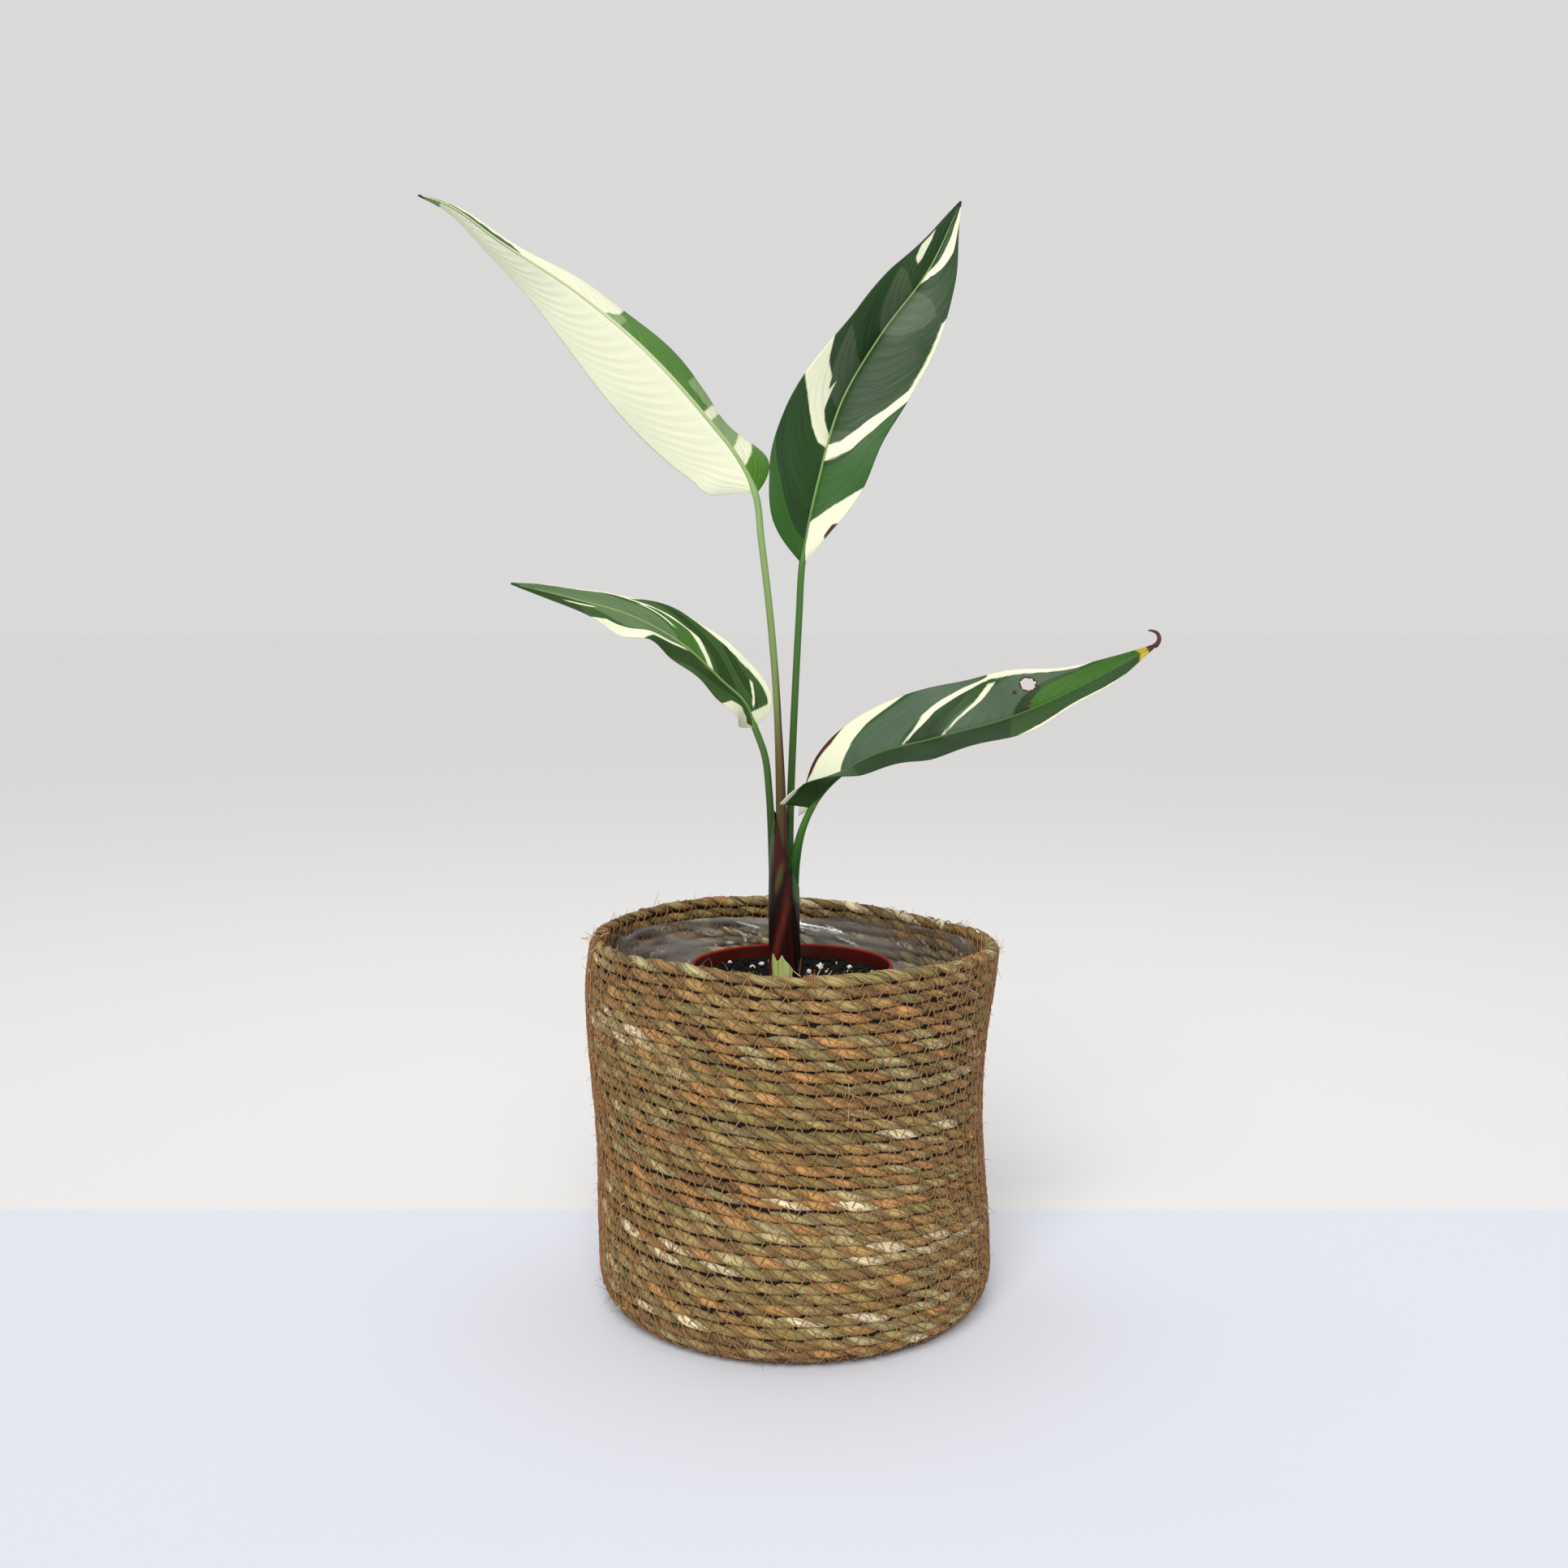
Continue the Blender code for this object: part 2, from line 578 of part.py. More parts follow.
def stalk_tube(name, leaf, extra, collection):
    """The stalk and midrib as one tapering bar, which lies under the blade and runs just past its tip."""
    line, along, base = leaf_path(leaf)
    stalk_lengths = np.linspace(0.0, base, 13)[:-1]
    rib_lengths = np.linspace(base, along[-1], 16)
    lengths = np.concatenate((stalk_lengths, rib_lengths))
    points = at_lengths(line, along, lengths)
    rib_share = np.clip((lengths - base) / (along[-1] - base), 0.0, 1.0)
    root = MIDRIB_ROOT * np.exp(-rib_share / MIDRIB_ROOT_SHARE)
    radii = np.where(
        rib_share > 0.0,
        MIDRIB_RADIUS + (TIP_RADIUS - MIDRIB_RADIUS) * rib_share + root,
        STALK_RADIUS - STALK_TAPER * lengths / base,
    )
    return tube(name, points, radii + extra, 2, collection)


def main():
    clear_scene()
    parts = new_collection(OBJECT_NAME)
    cutters = new_collection("cutters")
    seagrass = plain_material("seagrass_rope", (0.33, 0.24, 0.11), 0.85)
    film = plain_material("clear_film", (0.80, 0.82, 0.84), 0.10, 0.35)
    plastic = plain_material("terracotta_plastic", (0.19, 0.035, 0.018), 0.45)
    peat = plain_material("peat_soil", (0.018, 0.012, 0.009), 0.95)
    sheath = plain_material("leaf_sheath", (0.13, 0.05, 0.03), 0.45)
    scale_leaf = plain_material("scale_leaf", (0.30, 0.42, 0.16), 0.50)
    blade = plain_material("variegated_leaf", (0.10, 0.22, 0.06), 0.40)

    make_basket(parts, seagrass)
    make_liner(parts, film)
    make_pot(parts, cutters, plastic)

    stem = make_stem(parts, cutters, sheath)
    shoot_tube("new_shoot", 0.0, parts).data.materials.append(scale_leaf)
    stem_room = stem_tube("stem_room", GAP, cutters)
    shoot_room = shoot_tube("shoot_room", GAP, cutters)
    make_soil(parts, cutters, peat, stem_room, shoot_room)

    for name, leaf in LEAVES.items():
        make_leaf(name, leaf, parts, cutters, blade)
        add_boolean(stem, "DIFFERENCE", stalk_tube(name + "_seat", leaf, GAP, cutters))


main()
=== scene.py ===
"""Finish of a young variegated heliconia in a nursery pot, in a film-lined basket of sewn seagrass rope.

The front is -Y, +Z is up, and the origin is the middle of the basket's underside. Lengths are in metres.
"""
import math

import bpy
import numpy as np
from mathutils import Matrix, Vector, noise


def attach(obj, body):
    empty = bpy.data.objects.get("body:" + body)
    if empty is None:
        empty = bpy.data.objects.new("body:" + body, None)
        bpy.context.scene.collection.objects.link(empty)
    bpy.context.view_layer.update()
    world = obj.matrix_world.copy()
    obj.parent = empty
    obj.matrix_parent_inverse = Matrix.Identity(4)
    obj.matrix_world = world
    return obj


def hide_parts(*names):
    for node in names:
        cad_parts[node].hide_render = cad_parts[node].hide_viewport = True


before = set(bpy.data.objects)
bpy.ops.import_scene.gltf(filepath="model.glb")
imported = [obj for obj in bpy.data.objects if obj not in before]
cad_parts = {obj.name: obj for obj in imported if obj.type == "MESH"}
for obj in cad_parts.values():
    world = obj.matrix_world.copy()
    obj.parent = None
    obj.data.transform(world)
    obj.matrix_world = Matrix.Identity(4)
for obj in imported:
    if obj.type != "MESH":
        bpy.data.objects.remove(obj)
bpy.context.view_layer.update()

# Basket: the outline, the uneven rim and the slope of the rope rows are those of the solid.
BASKET_HEIGHT = 0.220
BASKET_RADII = (
    (0.000, 0.1168), (0.040, 0.1168), (0.110, 0.1150), (0.170, 0.1188), (0.190, 0.1205), (0.220, 0.1205),
)
BASKET_SWAY = 0.005
SWAY_BIAS = 1.8
RIM_LIFT = (
    (0, -0.0040), (45, -0.0050), (80, 0.0), (115, 0.0035), (150, 0.0025), (180, 0.0005), (210, 0.0015),
    (240, 0.0030), (270, 0.0), (315, 0.0), (345, -0.0020), (360, -0.0040),
)
RIM_LIFT_FADE = 4
ROW_SLOPE = 0.085
FOOT_RADIUS = 0.022
STRAIGHT_RADIUS = BASKET_RADII[0][1]
WALL = 0.0072
FLOOR = 0.0065

# Rope: two plies laid round each other, coiled up from the middle of the base to the rim.
ROW_PITCH = BASKET_HEIGHT / 34
ROPE_ROWS = 49
BASE_ROWS = 14
ROPE_DEPTH = 0.0035
BEND_LENGTH = (FOOT_RADIUS - ROPE_DEPTH) * math.pi / 2
TOP_ROW_DROP = 0.0033
CLIMB_SHARE = 0.05
CLIMB_TURN = math.radians(97)
LAY = 0.036
STATIONS_PER_LAY = 16
PLY_SIDES = 8
PLY_OFFSET = 0.0015
PLY_THICKNESS = 0.0019
PLY_WIDTH = 0.00285
PLY_END_TAPER = 0.008
PLY_GIRTH = 2 * math.pi * 0.0026
LEAST_HEIGHT = 0.0002

# Unevenness of the rope: how often along it, in metres, something wanders, and by how much.
TWIST_WANDER = (0.05, 0.5)
LONG_SWELL = (0.034, 0.22)
SHORT_SWELL = (0.0042, 0.11)
WIDTH_SWELL = (0.017, 0.07)
RISE_WANDER = (0.055, 0.0008)
DEPTH_WANDER = (0.04, 0.0003)

# Sewing thread that zigzags from row to row. Its bends are given as shares of the way from one
# row up to the next, and those outside 0 to 1 pierce the rope.
THREAD_RADIUS = 0.00034
THREAD_STEP = 0.0052
THREAD_LIFT = 0.0041
THREAD_DIP = 0.0022
THREAD_BENDS = (-0.28, 0.10, 0.90, 1.28, 0.90, 0.10)
INSIDE_STITCH_ROWS = 3
TOP_STITCH_RISE = 0.0022
RIM_STITCHES = 70
RIM_STITCH_REACH = 0.0035
RIM_STITCH_POINTS = 7
RIM_STITCH_SLANT = 0.005
BINDING_SLANT = 0.0004

# Where on the top row eight stitches lie side by side, as shares of its way round.
RIM_BINDING = tuple(0.4855 + 0.0013 * stitch for stitch in range(8))

# Tufts of loose thread and of torn straw: how many rows up the rope, how many fibres, and the longest one.
THREAD_TUFTS = (
    (34.399, 34, 0.0035), (34.401, 20, 0.003), (48.706, 10, 0.004), (48.62, 12, 0.003), (48.64, 8, 0.003),
    (17.293, 16, 0.005), (18.293, 14, 0.005), (19.29, 12, 0.004), (40.666, 8, 0.004), (37.53, 16, 0.003),
)
STRAW_TUFTS = (
    (39.399, 14, 0.0065), (39.396, 8, 0.005), (48.245, 8, 0.004), (48.704, 6, 0.004), (39.525, 8, 0.004),
    (37.528, 5, 0.005), (48.61, 5, 0.003),
)

# Loose fibres: how many, the shortest and the longest one, and how much they curl. Then their radii.
THREAD_FRAYS = (1500, 0.002, 0.0055, 0.5)
STRAW_FRAYS = (300, 0.003, 0.0065, 0.35)
THREAD_FRAY_RADIUS = 0.00018
STRAW_RADIUS = 0.00032
FRAY_ROOT = 0.0031
TUFT_ROOT = 0.0033
TUFT_CURL = 0.9
LOWEST_FRAY = 0.0006

# Film liner. Its folds, small creases and clouds are noise, with so many grains in a millimetre round the
# basket and up it, and a seed.
FILM_INSET = 0.0009
FILM_FLOOR = FLOOR + 0.0006
FILM_THICKNESS = 0.00015
LINER_TOP = 0.209
FILM_COLUMNS = 440
FILM_ROWS = (5, 7, 84)
FILM_FOLDS = (0.018, 0.085, 1.7)
FILM_CREASES = (0.045, 0.27, 8.1)
FILM_CLOUDS = (0.012, 0.07, 4.4)

# Glints painted white on the film, as painted highlights: degrees round the basket, half its length in
# degrees, height and half its height in millimetres.
FILM_GLINTS = (
    (82, 7.0, 203.0, 0.5), (75, 3.0, 201.5, 0.4), (70, 3.5, 194.0, 0.6), (105, 4.0, 204.5, 0.5),
    (107, 2.2, 199.0, 0.4), (112, 1.5, 201.5, 0.4), (93, 2.0, 193.0, 0.4), (52, 2.0, 196.0, 0.3),
    (40, 2.5, 199.0, 0.3),
)

# Pot and soil.
POT_CENTRE_X = -0.0022
POT_TOP = 0.2016
POT_RIM_RADIUS = 0.0600
POT_RIM_HEIGHT = 0.008
POT_BODY_RADIUS = 0.0575
POT_FOOT_RADIUS = 0.0465
POT_WALL = 0.0012
POT_FOOT = 0.0077
SOIL_TOP = 0.194
SOIL_HEAVE = 0.0014
SOIL_ROUGHNESS = 0.0011
STEM_CLEARANCE = 0.0105

# Loose grains that are scattered over the soil: how many, and the smallest and largest radius.
SMALL_PERLITE = (14, 0.0005, 0.0011)
PEAT_CRUMBS = (420, 0.0006, 0.0019)

# Perlite grains in the soil's surface: x, y, radius.
GRAINS = (
    (0.0150, 0.0200, 0.0030), (0.0018, 0.0400, 0.0017), (0.0080, 0.0075, 0.0016),
    (0.0000, 0.0160, 0.0015), (-0.0400, 0.0300, 0.0018), (-0.0260, 0.0200, 0.0018),
    (-0.0205, 0.0260, 0.0016), (0.0330, 0.0175, 0.0018), (0.0240, -0.0310, 0.0022),
    (-0.0290, -0.0310, 0.0024), (-0.0150, 0.0420, 0.0017), (0.0400, -0.0120, 0.0018),
)

# Stem of rolled leaf sheaths, and the scale leaf at its foot.
STEM_X = -0.0068
STEM_RADII = (
    (0.150, 0.0086), (0.190, 0.0092), (0.225, 0.0092), (0.258, 0.0089), (0.279, 0.0082), (0.297, 0.0066),
)
SHEATH_MOUTH_LEFT = (-0.0140, 0.2915)
SHEATH_MOUTH_RIGHT = (-0.0022, 0.2580)

# The scale leaf from left to right, in millimetres: share, x of its edge, height, depth in front, x of
# its foot. Then the height of its foot.
SHOOT_EDGE = (
    (0.00, -14.0, 203.0, 11.6, -12.4), (0.14, -13.5, 210.8, 13.6, -12.0), (0.30, -10.9, 205.6, 14.6, -10.4),
    (0.40, -9.6, 206.2, 12.8, -9.4), (0.50, -8.2, 209.4, 13.2, -8.2), (0.62, -6.4, 206.4, 14.4, -7.0),
    (0.78, -3.8, 203.8, 15.0, -5.2), (0.92, -1.6, 200.8, 13.4, -3.8), (1.00, -2.2, 197.4, 12.2, -3.4),
)
SHOOT_FOOT = 188.5

# Leaves: the same lines and sections as the solids.
STALK_RADIUS = 0.0024
STALK_TAPER = 0.0004
MIDRIB_RADIUS = 0.0013
TIP_RADIUS = 0.0004
BLADE_THICKNESS = 0.0004
LOBE_SHARE = 0.18
FULL_RIPPLE_WIDTH = 0.02
HALF_COLUMNS = 34
BLADE_ROWS = 190
PLEAT_WIDTH = 9.0
PLEAT_DEPTH = 0.00016
GROOVE_DEPTH = 0.0005
STALK_ROWS = 70
MIDRIB_ROWS = 110
LEAVES = {
    "leaf_upper_left": dict(
        stalk=(
            (-0.0088, -0.0028, 0.2380), (-0.0087, -0.0030, 0.2567), (-0.0092, -0.0030, 0.3049),
            (-0.0111, -0.0035, 0.3598), (-0.0158, -0.0030, 0.4163), (-0.0200, -0.0015, 0.4513),
        ),
        midrib=(
            (-0.0237, 0.0000, 0.4788), (-0.0325, -0.0012, 0.4967), (-0.0509, -0.0041, 0.5202),
            (-0.0845, -0.0102, 0.5566), (-0.1227, -0.0176, 0.5879), (-0.1645, -0.0258, 0.6142),
            (-0.1954, -0.0320, 0.6340), (-0.2072, -0.0350, 0.6369),
        ),
        sections=(
            (0.00, 2.0, -18, 3.0, -40), (0.05, 24.0, -15, 23.0, -52), (0.12, 31.0, -18, 30.0, -70),
            (0.25, 38.0, -18, 37.0, -74), (0.42, 36.0, -19, 36.0, -69), (0.58, 27.5, -22, 29.0, -72),
            (0.70, 20.0, -40, 21.0, -70), (0.85, 10.0, -45, 11.0, -72), (1.00, 0.6, -50, 0.6, -72),
        ),
        arch=(6, 6), lobes=(10, 10), ripple=0.0010, waves=3.5, vein_sweep=(0.20, 2.0),
    ),
    "leaf_upper_right": dict(
        stalk=(
            (-0.0042, 0.0042, 0.2380), (-0.0039, 0.0040, 0.2556), (-0.0027, 0.0040, 0.3041),
            (-0.0004, 0.0040, 0.3594), (0.0020, 0.0030, 0.4069),
        ),
        midrib=(
            (0.0039, 0.0000, 0.4388), (0.0070, 0.0028, 0.4580), (0.0133, 0.0084, 0.4863),
            (0.0269, 0.0190, 0.5323), (0.0509, 0.0305, 0.5736), (0.0791, 0.0426, 0.6119),
            (0.0994, 0.0550, 0.6549),
        ),
        sections=(
            (0.00, 2.0, 22, 2.0, 15), (0.06, 19.0, 22, 11.0, 15), (0.18, 31.0, 22, 26.0, 15),
            (0.32, 33.0, 27, 32.0, 15), (0.50, 28.5, 44, 36.0, 14), (0.66, 24.0, 38, 31.5, 15),
            (0.80, 16.5, 26, 18.5, 16), (0.91, 8.0, 26, 7.5, 16), (1.00, 0.6, 20, 0.6, 16),
        ),
        arch=(10, 10), lobes=(6, 6), ripple=0.0010, waves=4.0, vein_sweep=(0.22, 2.4),
    ),
    "leaf_lower_left": dict(
        stalk=(
            (-0.0132, 0.0014, 0.2450), (-0.0137, 0.0012, 0.2600), (-0.0144, 0.0002, 0.2830),
            (-0.0156, -0.0015, 0.3048), (-0.0182, -0.0038, 0.3265),
        ),
        midrib=(
            (-0.0243, -0.0060, 0.3438), (-0.0288, -0.0098, 0.3560), (-0.0425, -0.0155, 0.3700),
            (-0.0660, -0.0253, 0.3922), (-0.0942, -0.0353, 0.4080), (-0.1252, -0.0455, 0.4172),
            (-0.1565, -0.0560, 0.4253),
        ),
        sections=(
            (0.00, 2.0, 45, 2.0, -10), (0.05, 14.0, 53, 14.0, -15), (0.11, 18.0, 62, 18.5, -19),
            (0.25, 21.5, 71, 21.5, -33), (0.42, 20.0, 65, 20.0, -43), (0.52, 18.5, 68, 18.0, -45),
            (0.62, 17.0, 47, 14.5, -52), (0.72, 12.5, 53, 11.5, -52), (0.86, 7.0, 62, 6.5, -47),
            (1.00, 0.6, 50, 0.6, -42),
        ),
        arch=(10, 10), lobes=(20, 12), ripple=0.0008, waves=4.5, vein_sweep=(0.36, 1.5),
    ),
    "leaf_lower_right": dict(
        stalk=(
            (-0.0005, -0.0012, 0.2360), (-0.0003, -0.0024, 0.2500), (0.0006, -0.0045, 0.2641),
            (0.0041, -0.0085, 0.2831),
        ),
        midrib=(
            (0.0093, -0.0120, 0.2959), (0.0194, -0.0164, 0.3097), (0.0395, -0.0233, 0.3253),
            (0.0801, -0.0350, 0.3387), (0.1207, -0.0470, 0.3514), (0.1589, -0.0593, 0.3700),
            (0.1950, -0.0720, 0.3923),
        ),
        sections=(
            (0.00, 13.0, -30, 22.5, 142), (0.05, 15.0, -36, 20.0, 133), (0.12, 22.0, -38, 22.0, 108),
            (0.20, 28.0, -37, 27.0, 83), (0.35, 31.5, -30, 31.0, 79), (0.50, 31.0, -31, 31.0, 78),
            (0.65, 25.5, -28, 25.0, 74), (0.80, 14.0, -43, 14.0, 67), (0.91, 6.5, -45, 6.5, 51),
            (1.00, 0.6, -40, 0.6, 45),
        ),
        arch=(8, 10), lobes=(68, -8), ripple=0.0010, waves=4.0, vein_sweep=(0.27, 1.7),
    ),
}


def panel(leaf, begin, end, inner=0.0, outer=1.0):
    """A band between two side veins, which sweep towards the tip. One that ends inside the edge narrows."""
    sweep, power = LEAVES[leaf]["vein_sweep"]
    band = []
    for step in range(7):
        out = inner + (outer - inner) * step / 6
        start = begin + sweep * out**power
        narrow = 1.0 if outer == 1.0 else 1 - (step / 6) ** 3
        band.append((out, start, start + (end - begin) * narrow))
    return tuple(band)


def strip(begin, end):
    """A band with straight ends, from the midrib to the edge."""
    return (0, begin, end), (1, begin, end)


# Markings of the blades, painted one over another in this order. A band is a row of (how far out from the
# midrib to the edge, where it begins along the midrib, where it ends), all as shares of the whole.
# The grey paint is partly grey-green tissue and partly painted sheen.
PAINTS = ("dark", "bright_and_lit", "grey_and_sheen", "cream", "brown", "yellow")
# The bright paint is partly light green tissue and partly painted light on lit parts.
MARKINGS = {
    ("leaf_upper_left", -1): dict(
        cream=(strip(-1, 0.95),),
        grey_and_sheen=(strip(0.94, 2),),
        brown=(strip(0.985, 2),),
    ),
    ("leaf_upper_left", 1): dict(
        bright_and_lit=(
            # Painted light: the lit lobe at the blade's foot is painted bright.
            ((0, -1, 0.06), (1, -1, 0.10)),
            ((0, 0.21, 0.46), (0.4, 0.21, 0.47), (0.42, 0.29, 0.48), (1, 0.29, 0.5)),
        ),
        cream=(
            ((0, 0.06, 0.11), (1, 0.10, 0.13)), strip(0.19, 0.215),
            ((0, 0.53, 0.74), (0.45, 0.5, 0.78), (0.52, 0.5, 0.95), (1, 0.5, 0.95)),
        ),
        grey_and_sheen=(
            ((0, 0.11, 0.19), (1, 0.13, 0.19)), ((0.4, 0.215, 0.29), (1, 0.215, 0.29)),
            ((0, 0.48, 0.53), (0.5, 0.48, 0.53)),
        ),
        dark=(((0.75, 0.29, 0.5), (1, 0.29, 0.6)), ((0, 0.74, 0.93), (0.5, 0.78, 0.88))),
        brown=(strip(0.985, 2),),
    ),
    ("leaf_upper_right", 1): dict(
        cream=(
            ((0, -1, 0.09), (0.25, -1, 0.11), (0.5, -1, 0.135), (0.75, -1, 0.165), (1, -1, 0.20)),
            ((0, 0.245, 0.285), (0.25, 0.26, 0.30), (0.5, 0.285, 0.345), (0.75, 0.35, 0.42), (1, 0.47, 0.53)),
            ((0.93, 0.5, 0.7), (1, 0.48, 0.72)),
            (
                (0, 0.755, 0.79), (0.2, 0.79, 0.83), (0.4, 0.815, 0.90), (0.5, 0.83, 0.94),
                (0.75, 0.87, 0.99), (0.9, 0.93, 1.0), (1, 0.95, 1.0),
            ),
        ),
        grey_and_sheen=(
            # This grey panel is painted sheen.
            panel("leaf_upper_right", 0.285, 0.325, 0, 0.5),
            panel("leaf_upper_right", 0.60, 0.735, 0, 0.75),
        ),
        dark=(panel("leaf_upper_right", 0.36, 0.585), panel("leaf_upper_right", 0.74, 0.80)),
        bright_and_lit=(panel("leaf_upper_right", -0.1, 0.235),),
        brown=(((0.85, 0.07, 0.10), (1, 0.06, 0.105)), strip(0.985, 2)),
    ),
    ("leaf_upper_right", -1): dict(
        cream=(
            (
                (0, 0.28, 0.31), (0.2, 0.283, 0.335), (0.3, 0.295, 0.36), (0.35, 0.305, 0.43),
                (0.4, 0.31, 0.40), (0.5, 0.33, 0.43), (0.75, 0.37, 0.45), (1, 0.40, 0.50),
            ),
            ((0.5, 0.79, 0.81), (0.7, 0.80, 0.87), (0.9, 0.84, 0.90)),
        ),
        grey_and_sheen=(
            panel("leaf_upper_right", 0.38, 0.505, 0, 0.9),
            panel("leaf_upper_right", 0.60, 0.735, 0, 0.85),
        ),
        dark=(
            panel("leaf_upper_right", 0.0, 0.12), panel("leaf_upper_right", 0.505, 0.60),
            panel("leaf_upper_right", 0.77, 0.93, 0.1, 0.8),
        ),
        bright_and_lit=(panel("leaf_upper_right", -0.3, 0.05),),
        brown=(strip(0.985, 2),),
    ),
    ("leaf_lower_left", 1): dict(
        cream=(
            ((0, -1, 0.05), (1, -1, 0.06)),
            ((0.8, 0.02, 0.2), (0.85, 0.02, 0.3), (0.95, 0.02, 0.38), (1, 0, 0.44)),
            ((0.2, 0.06, 0.072), (0.4, 0.09, 0.105), (0.6, 0.12, 0.132)),
            (
                (0, 0.235, 0.262), (0.25, 0.293, 0.328), (0.5, 0.352, 0.388), (0.6, 0.43, 0.47),
                (0.7, 0.512, 0.548), (0.85, 0.583, 0.617), (0.97, 0.665, 0.695),
            ),
            ((0.35, 0.43, 0.45), (0.5, 0.48, 0.505), (0.7, 0.56, 0.58)),
            ((0.9, 0.6, 0.88), (1, 0.56, 0.92)),
        ),
        grey_and_sheen=(panel("leaf_lower_left", 0.40, 0.90),),
        dark=(panel("leaf_lower_left", -0.02, 0.07, 0.3, 0.9), panel("leaf_lower_left", 0.13, 0.215, 0.05)),
        bright_and_lit=(panel("leaf_lower_left", 0.27, 0.40, 0, 0.7),),
    ),
    ("leaf_lower_left", -1): dict(
        cream=(
            ((0.4, 0.05, 0.1), (0.6, 0.03, 0.15), (1, -1, 0.18)),
            ((0.1, 0.36, 0.38), (0.35, 0.415, 0.45), (0.6, 0.49, 0.56), (0.65, 0.51, 0.68), (1, 0.54, 0.73)),
            ((0.2, 0.71, 0.73), (0.35, 0.75, 0.78), (0.5, 0.8, 0.83)),
        ),
        grey_and_sheen=(panel("leaf_lower_left", 0.36, 0.72, 0, 0.6),),
        dark=(panel("leaf_lower_left", 0.08, 0.33), ((0, 0.8, 2), (1, 0.75, 2))),
    ),
    ("leaf_lower_right", -1): dict(
        cream=(
            ((0, -1, 0.12), (0.25, -1, 0.145), (0.5, -1, 0.18), (0.75, -1, 0.235), (1, -1, 0.33)),
            (
                (0, 0.297, 0.303), (0.25, 0.338, 0.352), (0.5, 0.372, 0.408), (0.7, 0.43, 0.47),
                (0.85, 0.488, 0.532), (0.93, 0.55, 0.60), (1, 0.57, 0.80),
            ),
            ((0.88, 0.58, 0.80), (1, 0.56, 0.84)),
            ((0.0, 0.406, 0.412), (0.25, 0.455, 0.465), (0.5, 0.51, 0.53), (0.8, 0.558, 0.582)),
        ),
        grey_and_sheen=(
            panel("leaf_lower_right", 0.10, 0.295), panel("leaf_lower_right", 0.415, 0.60),
            ((0.75, 0.67, 0.8), (0.95, 0.67, 0.8)),
        ),
        dark=(
            panel("leaf_lower_right", 0.305, 0.40, 0, 0.85),
            panel("leaf_lower_right", 0.60, 0.655, 0, 0.55),
        ),
        bright_and_lit=(panel("leaf_lower_right", 0.64, 1.1),),
        brown=(((0.88, 0.09, 0.15), (1, 0.06, 0.18)), strip(0.975, 2)),
        yellow=(((0, 0.955, 0.975), (1, 0.945, 0.975)),),
    ),
    ("leaf_lower_right", 1): dict(
        cream=(
            ((0.85, -1, 0.03), (1, -1, 0.06)), ((0.93, 0.66, 0.86), (1, 0.62, 0.90)),
        ),
        dark=(((0, 0.15, 0.6), (1, 0.2, 0.6)),),
        brown=(strip(0.975, 2),),
        yellow=(((0, 0.955, 0.975), (1, 0.945, 0.975)),),
    ),
}

# The hole in the lower right leaf: share along the midrib, share out to the edge, and its half sizes.
HOLE = (0.665, 0.60, 0.016, 0.14)

# The dead tip of the lower right leaf, from the blade's end outwards.
DRY_TIP = (
    (0.1932, -0.0716, 0.3912), (0.1950, -0.0720, 0.3926), (0.1960, -0.0722, 0.3955),
    (0.1948, -0.0722, 0.3984), (0.1922, -0.0722, 0.3996), (0.1897, -0.0720, 0.3999),
)
DRY_TIP_ROWS = 24

# Small brown scars near the hole, given in the same way.
SCARS = (
    (0.625, 0.48, 0.007, 0.06), (0.642, 0.10, 0.005, 0.05), (0.655, 0.14, 0.004, 0.05),
    (0.648, 0.03, 0.006, 0.04),
)

CAMERA_PLACE = (-0.0068, -0.97, 0.41)
CAMERA_TURN = (math.radians(84.05), 0.0, 0.0)
CAMERA_LENS = 38.0
CAMERA_SENSOR = 36.0

# The white table ends just behind the basket, over a short blend. The air lights the object less brightly
# than it is seen.
TABLE_EDGE = 0.135
EDGE_BLEND = 0.002
AIR_LIGHT = 0.32
AIR_SEEN = 0.70


def linear(colour):
    """An sRGB hex colour as linear red, green, blue and a full alpha."""
    parts = [int(colour[at:at + 2], 16) / 255 for at in (0, 2, 4)]
    return (*(part / 12.92 if part <= 0.04045 else ((part + 0.055) / 1.055) ** 2.4 for part in parts), 1.0)


def new_material(name, **values):
    """A material whose Principled shader has these values, with spaces for the underscores in their names."""
    material = bpy.data.materials.new(name)
    material.use_nodes = True
    shader = material.node_tree.nodes["Principled BSDF"]
    for key, value in values.items():
        shader.inputs[key.replace("_", " ")].default_value = value
    return material


def add(material, kind, inputs=None, **settings):
    """Adds a node with its settings. Each input is given a value, or the socket that feeds it."""
    tree = material.node_tree
    node = tree.nodes.new(kind)
    for key, value in settings.items():
        setattr(node, key, value)
    for key, value in (inputs or {}).items():
        if isinstance(value, bpy.types.NodeSocket):
            tree.links.new(value, node.inputs[key])
        else:
            node.inputs[key].default_value = value
    return node


def feed(material, key, socket):
    """Links a socket to an input of the material's Principled shader."""
    shader = material.node_tree.nodes["Principled BSDF"]
    material.node_tree.links.new(socket, shader.inputs[key])


def mixed(material, share, first, second, blend="MIX"):
    """The colour socket of a mix of two colours."""
    inputs = {0: share, 6: first, 7: second}
    return add(material, "ShaderNodeMix", inputs, data_type="RGBA", blend_type=blend).outputs[2]


def bumped(material, height, distance):
    """Feeds the height to the material's normals as a bump that is so many metres deep."""
    bump = add(material, "ShaderNodeBump", {"Height": height, "Distance": distance, "Strength": 1.0})
    feed(material, "Normal", bump.outputs[0])


